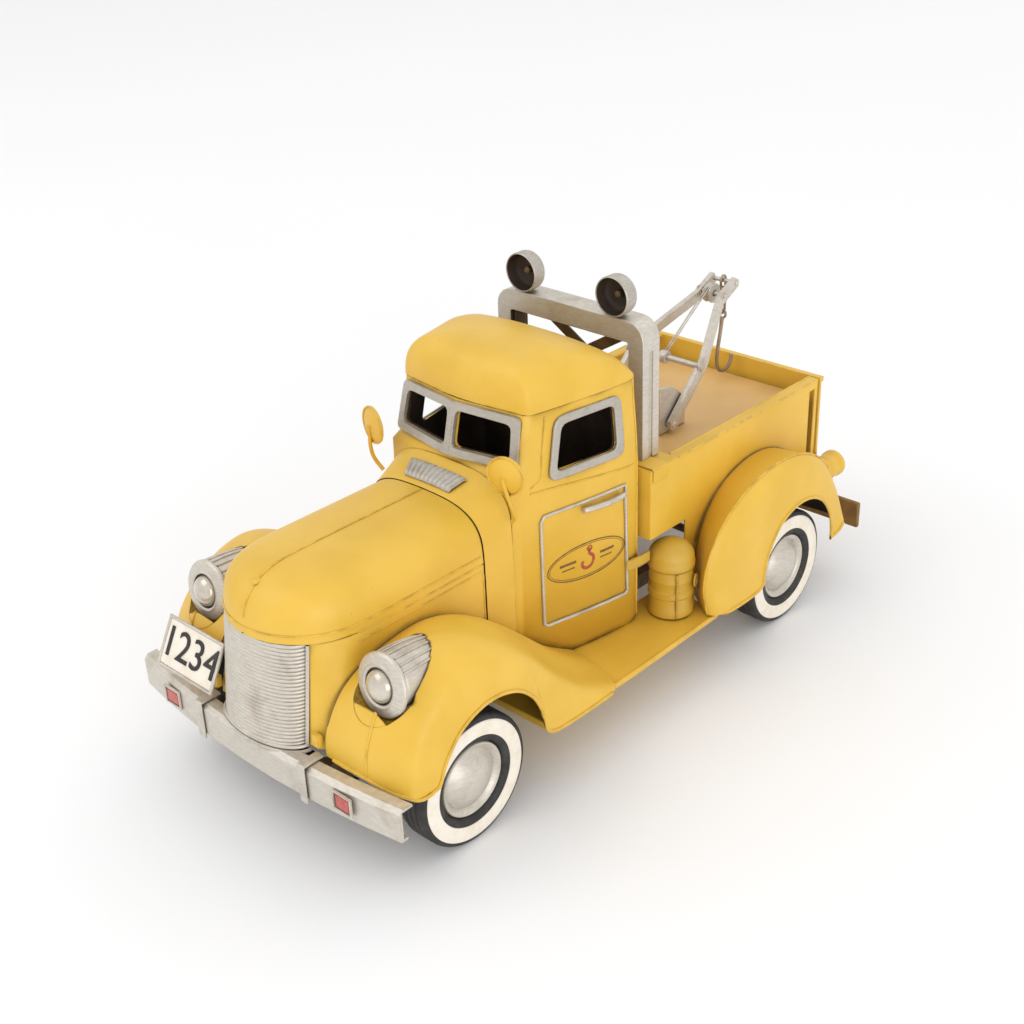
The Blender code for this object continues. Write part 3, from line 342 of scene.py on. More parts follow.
# Running boards: one folded tin tray a side with a wire rolled into its outer edge,
# soldered to the cab and both fenders. Golden enamel with a brown wash and painted shade in the seams.
def yellow_finish(name, deep=1.0, blue=0.040):
    finish, shader, place = new_finish(name)
    cloud = place.noise(26.0, 4.0)
    fine = place.noise(420.0)
    paint = cloud.step(0.3, 0.7).mixed(
        (0.70 * deep, 0.425 * deep, blue * deep, 1.0), (0.77 * deep, 0.480 * deep, (blue + 0.02) * deep, 1.0)
    )
    grime = place.noise(95.0, 5.0, 0.6)
    # Painted shade and brown wash in patches where other faces are near.
    seam = seam_shade_and_wash(place, 0.005) * grime.step(0.2, 0.62) * 0.85
    edge = edge_mask(place, 0.0007) * grime.step(0.42, 0.66) * 0.75
    specks = place.noise(700.0, 2.0, 0.5).step(0.765, 0.8) * cloud.step(0.42, 0.6) * 0.7
    wash_and_shade = seam.mixed(paint, (0.13, 0.062, 0.012, 1.0))
    worn = edge.mixed(wash_and_shade, (0.16, 0.085, 0.025, 1.0))
    feed(
        shader,
        Base_Color=specks.mixed(worn, (0.10, 0.05, 0.015, 1.0)),
        Roughness=0.36 + 0.16 * fine + 0.25 * seam,
        Normal=place.bump(place.noise(38.0, 2.0) * 0.8 + place.noise(900.0, 2.0) * 0.03, 0.5, 0.0012),
    )
    return finish


def copied(*nodes):
    """The welded solids of some CAD nodes, with their flat faces made quads again."""
    bm = bmesh.new()
    for node in nodes:
        bm.from_mesh(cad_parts[node].data)
    bmesh.ops.remove_doubles(bm, verts=bm.verts, dist=0.00002)
    bmesh.ops.join_triangles(bm, faces=bm.faces, angle_face_threshold=0.5, angle_shape_threshold=1.3)
    return bm


def softened(made, width=0.4, segments=2, angle=40.0):
    """Round the sharp edges by a width in millimetres, as bent sheet and castings have."""
    bevel = made.modifiers.new("soft edges", "BEVEL")
    bevel.width = width * 0.001
    bevel.segments = segments
    bevel.limit_method = "ANGLE"
    bevel.angle_limit = math.radians(angle)
    return made


def bent(points, count):
    """Even points along a smooth line through a few points."""
    padded = [points[0] * 2 - points[1], *points, points[-1] * 2 - points[-2]]
    line = []
    for k in range(count):
        along = k / (count - 1) * (len(points) - 1)
        i = min(int(along), len(points) - 2)
        u = along - i
        p0, p1, p2, p3 = padded[i : i + 4]
        slope = (p2 - p0) * u
        curve = (p0 * 2 - p1 * 5 + p2 * 4 - p3) * u**2
        twist = (p1 * 3 - p0 - p2 * 3 + p3) * u**3
        line.append((p1 * 2 + slope + curve + twist) / 2)
    return line


def drawn(points, radius, closed=False, sides=2):
    """A round wire, with its radius in millimetres, through points in the row frame, as a mesh."""
    curve = bpy.data.curves.new("wire", "CURVE")
    curve.dimensions = "3D"
    curve.bevel_depth = radius * 0.001
    curve.bevel_resolution = sides
    curve.use_fill_caps = True
    spline = curve.splines.new("POLY")
    spline.points.add(len(points) - 1)
    for spot, point in zip(spline.points, points):
        spot.co = (*point, 1.0)
    spline.use_cyclic_u = closed
    line = bpy.data.objects.new("wire_line", curve)
    bpy.context.scene.collection.objects.link(line)
    mesh = bpy.data.meshes.new_from_object(line.evaluated_get(bpy.context.evaluated_depsgraph_get()))
    bpy.data.objects.remove(line)
    bm = bmesh.new()
    bm.from_mesh(mesh)
    bpy.data.meshes.remove(mesh)
    bmesh.ops.remove_doubles(bm, verts=bm.verts, dist=0.000005)
    bmesh.ops.recalc_face_normals(bm, faces=bm.faces)
    return bm


def gathered(*parts):
    """One mesh of several."""
    whole = bmesh.new()
    for bm in parts:
        mesh = bpy.data.meshes.new("part")
        bm.to_mesh(mesh)
        bm.free()
        whole.from_mesh(mesh)
        bpy.data.meshes.remove(mesh)
    return whole


yellow = yellow_finish("yellow_enamel")
for side, label in ((1, "left"), (-1, "right")):
    tray = copied(f"running_board_{label}")
    board = piece(f"board_{label}", tray, yellow, "truck", "yellow_paint", f"running_board_{label}")
    softened(board, 0.6)
    edge_spots = ((88.2, 56.0), (88.8, 88.0), (89.2, 120.0), (88.8, 158.0), (88.3, 197.0))
    rim = [mm(side * x, y, 36.2) for x, y in edge_spots]
    piece(f"board_bead_{label}", drawn(bent(rim, 24), 1.2), yellow, "truck", "yellow_paint")


# Fenders: pressed tin shells, each with a wire rolled into its lower edge, a soldered
# ridge over its crown and a brown line along its joint, with painted shade underneath.
def creased(bm, angle=50.0):
    """Mark the edges that stay sharp under a subdivision surface."""
    layer = bm.edges.layers.float.get("crease_edge") or bm.edges.layers.float.new("crease_edge")
    for edge in bm.edges:
        if len(edge.link_faces) == 2 and edge.calc_face_angle(0.0) > math.radians(angle):
            edge[layer] = 1.0
    return bm


def curved(made, levels=2):
    """Give a piece the flowing skin of pressed sheet."""
    skin = made.modifiers.new("skin", "SUBSURF")
    skin.levels = levels
    skin.render_levels = levels
    return made


def dark_within(made, middle, finish):
    """Paint the faces that look towards a middle line of the piece with a second finish, here near-black painted
    shade.
    """
    made.data.materials.append(finish)
    for face in made.data.polygons:
        if face.normal.dot(face.center - middle(face.center)) < 0.0:
            face.material_index = 1
    return made


def snug(made, points, lift=0.0):
    """Points moved onto a piece's finished skin, and out from it by a lift in millimetres."""
    tree = BVHTree.FromObject(made, bpy.context.evaluated_depsgraph_get())
    moved = []
    for point in points:
        spot, normal, _, _ = tree.find_nearest(point)
        moved.append(spot + normal * lift * 0.001)
    return moved


front_rim = [(47.0, -52.0, 57.8), (55.0, -52.0, 57.4), (68.0, -51.2, 57.0)]
front_rim += [(81.0, -48.2, 54.0), (90.0, -44.5, 52.2)]
front_rim += [(94.6, -38.0, 51.5), (94.8, -29.5, 53.0), (94.8, -24.0, 64.0)]
front_rim += [(94.8, -14.0, 75.3), (94.8, 0.0, 81.3)]
front_rim += [(94.8, 14.0, 81.3), (94.8, 27.0, 76.0), (94.8, 37.0, 66.0)]
front_rim += [(94.8, 42.5, 54.0), (94.8, 45.5, 42.5)]
front_rim += [(94.8, 52.0, 39.4), (94.8, 66.0, 38.4), (94.8, 80.0, 38.2), (94.6, 95.0, 38.2)]
front_crest = [(68.4, -50.6, 58.0), (68.4, -49.5, 71.0), (68.4, -43.0, 86.5), (68.4, -33.0, 98.0)]
rear_rim = [(90.0, 190.0, 38.6), (94.6, 201.0, 38.4), (94.8, 221.0, 38.4)]
rear_rim += [(94.8, 230.4, 42.0), (94.8, 232.6, 56.0)]
rear_rim += [(94.8, 241.0, 70.0), (94.8, 252.0, 77.5), (94.8, 266.0, 80.2)]
rear_rim += [(94.8, 280.0, 77.4), (94.8, 291.5, 69.6)]
rear_rim += [(94.8, 299.5, 57.0), (94.8, 302.0, 43.0), (94.8, 309.0, 42.6), (94.6, 315.0, 46.0)]
rear_crest = [(87.0, 187.0, 39.0), (87.0, 182.0, 58.0), (87.0, 188.0, 78.0)]
rear_crest += [(87.0, 205.0, 96.5), (87.0, 229.0, 106.5)]
rear_crest += [(87.0, 254.0, 109.5), (87.0, 280.0, 104.5), (87.0, 300.0, 91.5)]
rear_crest += [(87.0, 313.0, 72.5), (87.0, 319.5, 54.0)]
front_joint = [(36.0, -51.5, 62.0), (36.0, -49.0, 76.0), (36.0, -42.0, 86.5)]
front_joint += [(36.0, -27.0, 96.0), (38.0, -6.0, 101.0)]
front_joint += [(38.0, 14.0, 101.5), (40.0, 29.0, 96.5), (42.0, 46.0, 87.0)]
front_joint += [(48.0, 67.0, 71.5), (62.0, 88.0, 52.0)]
rear_joint = [(60.0, 204.0, 40.0), (60.0, 206.0, 56.0), (60.0, 211.0, 76.0)]
rear_joint += [(60.0, 224.0, 92.0), (60.0, 243.0, 101.0)]
rear_joint += [(60.0, 264.0, 103.5), (60.0, 284.0, 99.0), (60.0, 301.0, 88.0)]
rear_joint += [(60.0, 313.0, 72.0), (60.0, 318.0, 54.0)]
fender_lines = (
    ("front", 7.0, front_rim, front_crest, front_joint),
    ("rear", 265.0, rear_rim, rear_crest, rear_joint),
)
front_wings = {}
LAMP_X, LAMP_Y, LAMP_Z = 65.5, -33.0, 98.5
LAMP_REACH = 0.0185
for side, label in ((1, "left"), (-1, "right")):
    for end, axle_y, rim, crest, joint in fender_lines:
        node = f"{end}_fender_{label}"
        arch = mm(side * 60.0, axle_y, 40.0)
        wing = piece(
            f"{end}_wing_{label}", creased(copied(node)), yellow, "truck", "yellow_paint", node, angle=50.0
        )
        # Faces under the fender take near-black painted shade.
        dark_within(curved(wing), lambda spot, arch=arch: arch, painted_shade_brown)
        if end == "front":
            front_wings[side] = wing
        seat = mm(side * LAMP_X, LAMP_Y, LAMP_Z)
        for face in wing.data.polygons:
            off_axis = math.hypot(face.center.x - seat.x, face.center.z - seat.z)
            if off_axis < LAMP_REACH and face.center.y < seat.y + 0.04:
                face.material_index = 0
        rolled = snug(wing, bent([mm(side * x, y, z) for x, y, z in rim], 80))
        ridge = snug(wing, bent([mm(side * x, y, z) for x, y, z in crest], 48), 0.1)
        seam = snug(wing, bent([mm(side * x, y, z) for x, y, z in joint], 60), 0.0)
        piece(f"{end}_wing_seam_{label}", drawn(seam, 0.35), umber, "truck", "brown_metal")
        piece(f"{end}_wing_bead_{label}", drawn(rolled, 1.0), yellow, "truck", "yellow_paint")
        piece(f"{end}_wing_ridge_{label}", drawn(ridge, 0.55), yellow, "truck", "yellow_paint")

# Nose: a yellow panel each side of the engine, and between them the grille, a half
# round of tin pressed into level ribs, with flat edge strips and a doubled wire lip.
panels = {}
for side, label in ((1, "left"), (-1, "right")):
    node = f"side_panel_{label}"
    panel = piece(f"nose_panel_{label}", copied(node), yellow, "truck", "yellow_paint", node)
    softened(panel, 0.5)
    panels[side] = panel
    foot, top = mm(side * 29.4, -53.2, 59.2), mm(side * 29.4, -46.2, 111.4)
    strip = bmesh.new()
    bmesh.ops.create_grid(strip, x_segments=4, y_segments=24, size=0.5)
    for vert in strip.verts:
        along = foot.lerp(top, vert.co.y + 0.5)
        vert.co = along + Vector((side * vert.co.x * 0.0034, abs(vert.co.x) * 0.0012 - 0.0006, 0.0))
    bmesh.ops.solidify(strip, geom=strip.faces, thickness=0.0008)
    bmesh.ops.recalc_face_normals(strip, faces=strip.faces)
    piece(f"grille_strip_{label}", strip, silver, "truck", "silver_paint", angle=30.0)
    clip = bmesh.new()
    bmesh.ops.create_cube(clip, size=1.0)
    bmesh.ops.scale(clip, vec=(0.0050, 0.0034, 0.0065), verts=clip.verts)
    corners = {"affect": "EDGES", "segments": 2, "profile": 0.5, "material": -1}
    bmesh.ops.bevel(clip, geom=clip.edges, offset=0.0007, offset_type="OFFSET", **corners)
    bmesh.ops.translate(clip, vec=mm(side * 38.5, -53.4, 66.0), verts=clip.verts)
    piece(f"nose_clip_{label}", clip, yellow, "truck", "yellow_paint")

GRILLE_RIBS = 27
low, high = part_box("grille")
ribs = bmesh.new()
rib_height = (high.z - low.z) / GRILLE_RIBS
rib_verts = []
for i in range(GRILLE_RIBS):
    for share, depth in ((0.0, 0.0), (0.22, 0.75), (0.5, 1.0), (0.78, 0.75)):
        rib_verts.append(ribs.verts.new((-(0.0276 + 0.0009 * depth), 0.0, low.z + (i + share) * rib_height)))
rib_verts.append(ribs.verts.new((-0.0276, 0.0, high.z)))
rib_edges = [ribs.edges.new(pair) for pair in zip(rib_verts, rib_verts[1:])]
bmesh.ops.spin(ribs, geom=rib_verts + rib_edges, cent=(0, 0, 0), axis=(0, 0, 1), angle=math.pi, steps=40)
for vert in ribs.verts:
    rise = (vert.co.z - low.z) / (high.z - low.z)
    vert.co.y = vert.co.y * 0.49 + (-52.0 - 139.0 + 7.0 * rise) * 0.001
bmesh.ops.recalc_face_normals(ribs, faces=ribs.faces)
grille = piece("grille_ribs", ribs, silver, "truck", "silver_paint", "grille", angle=60.0)
wall = grille.modifiers.new("wall", "SOLIDIFY")
wall.thickness = 0.0008
wall.offset = 0.0
lips = []
for drop, grow in ((0.2, 1.0), (-1.9, 1.045)):
    arc = [math.pi * k / 32 for k in range(33)]
    run = [mm(-29.8 * grow * math.cos(a), -52.0 - 14.0 * grow * math.sin(a), 58.6 + drop) for a in arc]
    lips.append(drawn(run, 0.95))
piece("grille_lip", gathered(*lips), silver, "truck", "silver_paint")

# Bonnet and cowl: one pressed hood that hangs over the nose with a rolled lip, and
# behind it the cowl, which widens to the cab. Soldered ridges run along both.
def hood_middle(spot):
    return Vector((0.0, max(spot.y, mm(0.0, -40.0, 0.0).y), 0.085))


bonnet = piece(
    "bonnet_skin", creased(copied("bonnet")), yellow, "truck", "yellow_paint", "bonnet", angle=50.0
)
# The inner faces of the bonnet, and of the cowl below, take near-black painted shade.
dark_within(curved(bonnet), hood_middle, painted_shade_brown)
cowl = piece("cowl_skin", creased(copied("cowl")), yellow, "truck", "yellow_paint", "cowl", angle=50.0)
dark_within(curved(cowl, 1), hood_middle, painted_shade_brown)
ridges = []
spine_spots = ((-59.0, 121.0), (-56.0, 128.0), (-48.0, 136.0), (-36.0, 140.0), (-20.0, 142.0))
spine = [mm(0.0, y, z) for y, z in spine_spots]
spine += [mm(0.0, 20.0, 142.0), mm(0.0, 57.6, 142.0)]
ridges.append(drawn(snug(bonnet, bent(spine, 60), 0.15), 0.5))
lip_run = [mm(45.0, 57.0, 117.0), mm(45.0, 20.0, 117.0), mm(45.0, -18.0, 117.0), mm(42.0, -33.0, 117.0)]
lip_run += [mm(34.0, -48.0, 117.0), mm(19.0, -60.0, 117.0), mm(0.0, -64.0, 117.0)]
lip_run += [Vector((-p.x, p.y, p.z)) for p in reversed(lip_run[:-1])]
ridges.append(drawn(snug(bonnet, bent(lip_run, 120), 0.1), 0.5))
for side in (1, -1):
    for rise, under in ((108.5, panels[side]), (112.5, bonnet)):
        run = [mm(side * 48.0, y, rise) for y in (-26.0, 0.0, 28.0, 57.0)]
        ridges.append(drawn(snug(under, bent(run, 30), 0.1), 0.45))
    joint = [mm(side * 48.0, 57.7, z) for z in (62.0, 84.0, 107.0)]
    ridges.append(drawn(snug(panels[side], bent(joint, 12), 0.0), 0.55))
piece("bonnet_ridges", gathered(*ridges), yellow, "truck", "yellow_paint")
solder = bmesh.new()
bmesh.ops.create_uvsphere(solder, u_segments=16, v_segments=10, radius=0.0022)
bmesh.ops.scale(solder, vec=(0.8, 1.3, 0.6), verts=solder.verts)
bmesh.ops.translate(solder, vec=snug(bonnet, [mm(0.0, -50.0, 138.0)])[0], verts=solder.verts)
piece("bonnet_solder", solder, yellow, "truck", "yellow_paint")

# Cowl vent: a trapezoid of corrugated silver tin in front of the screen.
VENT_RIBS = 11
vent = bmesh.new()
bmesh.ops.create_grid(vent, x_segments=VENT_RIBS * 8, y_segments=6, size=0.5)
flat_places = []
for vert in vent.verts:
    across, along = vert.co.x * 2, vert.co.y + 0.5
    half = 16.0 + 4.0 * along
    fade = min(1.0, 6.0 * min(along, 1.0 - along))
    wave = 0.9 * abs(math.sin(math.pi * VENT_RIBS * vert.co.x)) * fade
    flat_places.append((mm(half * across, 61.5 + 9.5 * along, 160.0), 1.3 + wave))
tree = BVHTree.FromObject(cowl, bpy.context.evaluated_depsgraph_get())
for vert, (spot, lift) in zip(vent.verts, flat_places):
    hit, _, _, _ = tree.ray_cast(spot, Vector((0.0, 0.0, -1.0)))
    vert.co = hit + Vector((0.0, 0.0, lift * 0.001))
bmesh.ops.solidify(vent, geom=vent.faces, thickness=0.0007)
bmesh.ops.recalc_face_normals(vent, faces=vent.faces)
dull_silver = silver_finish("dull_silver", 0.70, 0.6)
piece("cowl_vent_ribs", vent, dull_silver, "truck", "silver_paint", "cowl_vent", angle=50.0)


# Cab and roof: a folded tin box with cut windows and a pressed roof, with painted shade
# inside, soldered seams at the screen posts and a crease at the belt.
def cab_middle(spot):
    return Vector((0.0, mm(0.0, 121.0, 0.0).y, min(max(spot.z, 0.060), 0.165)))


cab = piece("cab_shell", copied("cab_body"), yellow, "truck", "yellow_paint", "cab_body", angle=30.0)
# The faces inside the cab and the roof are painted near-black: painted shade.
dark_within(cab, cab_middle, painted_shade_brown)
roof = piece(
    "roof_skin", creased(copied("cab_roof")), yellow, "truck", "yellow_paint", "cab_roof", angle=50.0
)
dark_within(curved(roof), cab_middle, painted_shade_brown)
seams = []
for side in (1, -1):
    waist = [mm(side * 70.0, y, z) for y, z in ((84.5, 141.2), (120.0, 138.5), (162.0, 134.5))]
    belt = snug(cab, bent(waist, 24), 0.1)
    post = [mm(side * 70.0, y, z) for y, z in ((96.5, 180.0), (93.0, 160.0), (91.5, 148.0), (85.0, 144.0))]
    seams.append(drawn(belt, 0.5))
    seams.append(drawn(snug(cab, bent(post, 20), 0.05), 0.45))
    rear_edge = [mm(side * 60.0, 163.6, z) for z in (182.0, 150.0, 110.0, 70.0, 40.0)]
    seams.append(drawn(snug(cab, bent(rear_edge, 24), 0.0), 0.7))
piece("cab_seams", gathered(*seams), yellow, "truck", "yellow_paint")


# Door: a wire soldered round its outline, a bent handle, and a painted oval badge with
# a plain crane hook on it.
def badge_finish(name, colour, worn):
    finish, shader, place = new_finish(name)
    patch = place.noise(520.0, 4.0, 0.65).step(0.42, 0.7)
    feed(
        shader,
        Base_Color=(patch * 0.7).mixed((*colour, 1.0), (*worn, 1.0)),
        Roughness=0.42 + 0.2 * patch,
        Normal=place.bump(patch, 0.2, 0.0003),
    )
    return finish


badge_brown = badge_finish("badge_brown", (0.13, 0.055, 0.018), (0.34, 0.17, 0.03))
badge_red = badge_finish("badge_red", (0.36, 0.045, 0.018), (0.42, 0.18, 0.04))


def on_door(bm, side, thickness=0.12, lift=0.05):
    """Press a flat mesh, made in the X-Y plane in millimetres, on to the door as thin paint."""
    tree = BVHTree.FromObject(cab, bpy.context.evaluated_depsgraph_get())
    for vert in bm.verts:
        spot = mm(side * 75.0, 124.0 + side * vert.co.x, 90.0 + vert.co.y)
        hit, _, _, _ = tree.ray_cast(spot, Vector((-side, 0.0, 0.0)))
        vert.co = hit + Vector((side * (lift + thickness * (vert.co.z > 0.0)) * 0.001, 0.0, 0.0))
    bmesh.ops.recalc_face_normals(bm, faces=bm.faces)
    return bm


def flat_ring(half_width, half_height, band, steps=72):
    """An oval ring with its lower face at 0 and its upper face at 1."""
    bm = bmesh.new()
    bmesh.ops.create_circle(bm, segments=steps, radius=1.0)
    bmesh.ops.scale(bm, vec=(half_width, half_height, 1.0), verts=bm.verts)
    outer = list(bm.edges)
    grown = bmesh.ops.extrude_edge_only(bm, edges=outer)["geom"]
    inner = [g for g in grown if isinstance(g, bmesh.types.BMVert)]
    shrink = (1.0 - band / half_width, 1.0 - band / half_height, 1.0)
    bmesh.ops.scale(bm, vec=shrink, verts=inner)
    raised = bmesh.ops.extrude_face_region(bm, geom=list(bm.faces))["geom"]
    bmesh.ops.translate(bm, vec=(0, 0, 1), verts=[g for g in raised if isinstance(g, bmesh.types.BMVert)])
    return bm


def flat_stroke(points, width):
    """A brush stroke of one width through points in the X-Y plane, rounded at its ends."""
    line = drawn(bent([Vector((x, y, 0.0)) for x, y in points], 24), width * 500.0, sides=1)
    for vert in line.verts:
        vert.co.z = 1.0 if vert.co.z > 0.01 else 0.0
    return line


badge_lines = (
    (-18.0, -12.0, -7.5, 1.4, 1.5),
    (-16.5, -12.0, -8.5, -1.8, 0.8),
    (8.5, 13.0, 18.0, 1.4, 1.5),
    (8.5, 13.0, 16.5, -1.8, 0.8),
)
for side, label in ((1, "left"), (-1, "right")):
    corner_spots = [(148.7, 125.5), (150.3, 60.0), (148.7, 58.6), (91.6, 59.6)]
    corner_spots += [(89.6, 61.5), (89.2, 122.0), (91.2, 125.2)]
    ring = []
    for i, (y, z) in enumerate(corner_spots):
        far_y, far_z = corner_spots[(i + 1) % len(corner_spots)]
        for k in range(12):
            ring.append(mm(side * 75.0, y + (far_y - y) * k / 12, z + (far_z - z) * k / 12))
    trim = drawn(snug(cab, ring, 0.5), 0.95, closed=True)
    piece(f"door_trim_{label}", trim, silver, "truck", "silver_paint")
    node = f"door_handle_{label}"
    handle = piece(
        f"door_grip_{label}", creased(copied(node)), silver, "truck", "silver_paint", node, angle=60.0
    )
    curved(handle)
    outline = gathered(flat_ring(26.0, 10.6, 0.6), flat_ring(24.6, 9.3, 0.25))
    piece(f"badge_oval_{label}", on_door(outline, side), badge_brown, "truck", "yellow_paint")
    hook = [(1.4, 6.6), (1.4, 3.4), (3.6, 1.4), (3.9, -1.6)]
    hook += [(1.8, -4.4), (-1.6, -4.6), (-3.6, -2.4), (-3.0, -0.2)]
    eye = flat_ring(1.9, 1.9, 0.8, 24)
    bmesh.ops.translate(eye, vec=(1.4, 7.0, 0.0), verts=eye.verts)
    bmesh.ops.scale(eye, vec=(1.0, 0.92, 1.0), verts=eye.verts)
    mark = gathered(flat_stroke(hook, 1.9), eye)
    piece(f"badge_hook_{label}", on_door(mark, side), badge_red, "truck", "yellow_paint")
    bars = []
    for start, middle, stop, rise, width in badge_lines:
        bars.append(flat_stroke([(start, rise), (middle, rise), (stop, rise)], width))
    piece(f"badge_bars_{label}", on_door(gathered(*bars), side), badge_brown, "truck", "yellow_paint")

# Window frames: flat tin bands with rounded corners, soldered round the openings and
# painted silver.
for node in ("window_frame_left", "window_frame_right", "windshield_frame"):
    band = piece(f"{node}_band", copied(node), dull_silver, "truck", "silver_paint", node, angle=35.0)
    softened(band, 0.5, angle=30.0)

# Headlights: a bullet shell with pressed fins along its top, a broad flat ring, a groove
# painted dark as painted shade and a domed lens, leaning back a little in a seat pressed into the fender.
def lens_finish():
    finish, shader, place = new_finish("lamp_glass")
    cast = place.noise(150.0, 4.0, 0.6)
    feed(
        shader,
        Base_Color=cast.step(0.3, 0.75).mixed((0.66, 0.61, 0.52, 1.0), (0.50, 0.44, 0.35, 1.0)),
        Metallic=0.5,
        Roughness=0.16 + 0.12 * cast,
        Coat_Weight=0.6,
        Normal=place.bump(cast, 0.3, 0.0006),
    )
    return finish


glass = lens_finish()
SEAT_RADIUS, SEAT_OUTSIDE, SEAT_DEPTH = 0.0163, 0.0170, 0.012
lamp_lean = math.radians(10.0)
lamp_axis = (0.0, -math.cos(lamp_lean), math.sin(lamp_lean))
bezel_profile = [(9.0, 1.2), (9.1, 2.7), (9.6, 3.1), (10.4, 3.2)]
bezel_profile += [(11.0, 2.7), (11.8, 2.6), (14.6, 2.0), (15.4, 1.6)]
bezel_profile += [(16.0, 0.8), (16.0, -0.3), (15.2, -0.8), (9.0, -0.8), (9.0, 1.2)]
groove_profile = [(7.8, 0.4), (8.0, 1.9), (9.2, 1.9), (9.2, 0.4), (7.8, 0.4)]
dome_profile = [(8.2, 1.0), (8.1, 2.4), (7.4, 3.9), (6.2, 5.1), (4.5, 6.0), (2.3, 6.6), (0.0, 6.8)]
for side, label in ((1, "left"), (-1, "right")):
    lamp_centre = mm(side * LAMP_X, LAMP_Y, LAMP_Z)
    shell_node = f"headlight_shell_{label}"
    shell = piece(
        f"lamp_shell_{label}", creased(copied(shell_node)), silver, "truck", "silver_paint", shell_node
    )
    curved(shell, 1)
    bezel = spun(bezel_profile, lamp_centre, lamp_axis)
    piece(f"lamp_ring_{label}", bezel, silver, "truck", "silver_paint", f"headlight_lens_{label}", angle=35.0)
    # The groove between ring and lens is painted near-black: painted shade.
    piece(
        f"lamp_groove_{label}", spun(groove_profile, lamp_centre, lamp_axis), painted_shade_brown, "truck", "brown_metal"
    )
    piece(f"lamp_dome_{label}", spun(dome_profile, lamp_centre, lamp_axis), glass, "truck", "silver_paint")
    fins = []
    for k in range(7):
        turn = math.radians(90.0 + 17.0 * (k - 3))
        spots = [(15.6, 1.0), (15.6, 12.0), (14.4, 22.0), (10.5, 32.0)]
        fin = [lamp_centre + Vector((math.cos(turn) * r, h, math.sin(turn) * r)) * 0.001 for r, h in spots]
        fins.append(drawn(snug(shell, bent(fin, 16), 0.1), 0.7))
    skin = BVHTree.FromObject(front_wings[side], bpy.context.evaluated_depsgraph_get())
    seat = bmesh.new()
    wall = []
    for k in range(61):
        turn = math.radians(120.0 + 5.0 * k)
        out = Vector((side * math.cos(turn), 0.0, math.sin(turn)))
        start = lamp_centre + out * SEAT_OUTSIDE - Vector((0.0, 0.05, 0.0))
        hit, _, _, _ = skin.ray_cast(start, Vector((0.0, 1.0, 0.0)))
        if hit and hit.y < lamp_centre.y + 0.006:
            spot = lamp_centre + out * SEAT_RADIUS
            spot.y = hit.y
            wall.append((seat.verts.new(spot), seat.verts.new(spot + Vector((0.0, SEAT_DEPTH, 0.0)))))
    for first, second in zip(wall, wall[1:]):
        if (first[0].co - second[0].co).length < 0.004:
            seat.faces.new((first[0], second[0], second[1], first[1]))
    bmesh.ops.solidify(seat, geom=seat.faces, thickness=0.0003)
    bmesh.ops.recalc_face_normals(seat, faces=seat.faces)
    piece(f"lamp_seat_{label}", seat, yellow, "truck", "yellow_paint")
    piece(f"lamp_fins_{label}", gathered(*fins), silver, "truck", "silver_paint", angle=60.0)

# Front bumper: a folded steel channel with a sloping upper edge, two clasps that hold
# it to the frame, and two red reflectors in wire frames.
def red_finish():
    finish, shader, place = new_finish("red_reflector")
    cell = place.node("ShaderNodeTexVoronoi", None, {"Vector": place, "Scale": 900.0})
    fade = place.noise(200.0)
    feed(
        shader,
        Base_Color=fade.step(0.35, 0.7).mixed((0.42, 0.028, 0.018, 1.0), (0.52, 0.07, 0.045, 1.0)),
        Roughness=0.2 + 0.15 * fade,
        Coat_Weight=0.5,
        Normal=place.bump(cell, 0.4, 0.0004),
    )
    return finish


red = red_finish()
channel = copied("front_bumper")
brow = max(v.co.z for v in channel.verts)
ends = [e for e in channel.edges if all(v.co.z > brow - 0.0001 for v in e.verts)]
front_line = [e for e in ends if len(e.link_faces) == 2 and any(f.normal.y < -0.5 for f in e.link_faces)]
corners = {"affect": "EDGES", "segments": 1, "profile": 0.5, "material": -1}
bmesh.ops.bevel(channel, geom=front_line, offset=0.0034, offset_type="WIDTH", **corners)
bumper = piece("bumper_bar", channel, silver, "truck", "silver_paint", "front_bumper", angle=25.0)
softened(bumper, 0.35, angle=30.0)
for side, label in ((1, "left"), (-1, "right")):
    node = f"overrider_{label}"
    clasp = piece(f"bumper_clasp_{label}", copied(node), silver, "truck", "silver_paint", node)
    softened(clasp, 0.5)
    low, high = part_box(f"reflector_{label}")
    middle = (low + high) / 2
    lens = bmesh.new()
    bmesh.ops.create_cube(lens, size=1.0)
    bmesh.ops.scale(lens, vec=(0.0094, 0.0013, 0.0074), verts=lens.verts)
    bmesh.ops.bevel(lens, geom=lens.edges, offset=0.0004, offset_type="OFFSET", **corners)
    bmesh.ops.translate(lens, vec=middle, verts=lens.verts)
    piece(f"bumper_lens_{label}", lens, red, "truck", "red_lens", f"reflector_{label}")
    corner_spots = ((-0.0058, -0.0048), (0.0058, -0.0048), (0.0058, 0.0048), (-0.0058, 0.0048))
    loop = [middle + Vector((x, -0.0002, z)) for x, z in corner_spots]
    piece(f"bumper_lens_frame_{label}", drawn(loop, 0.9, closed=True), silver, "truck", "silver_paint")

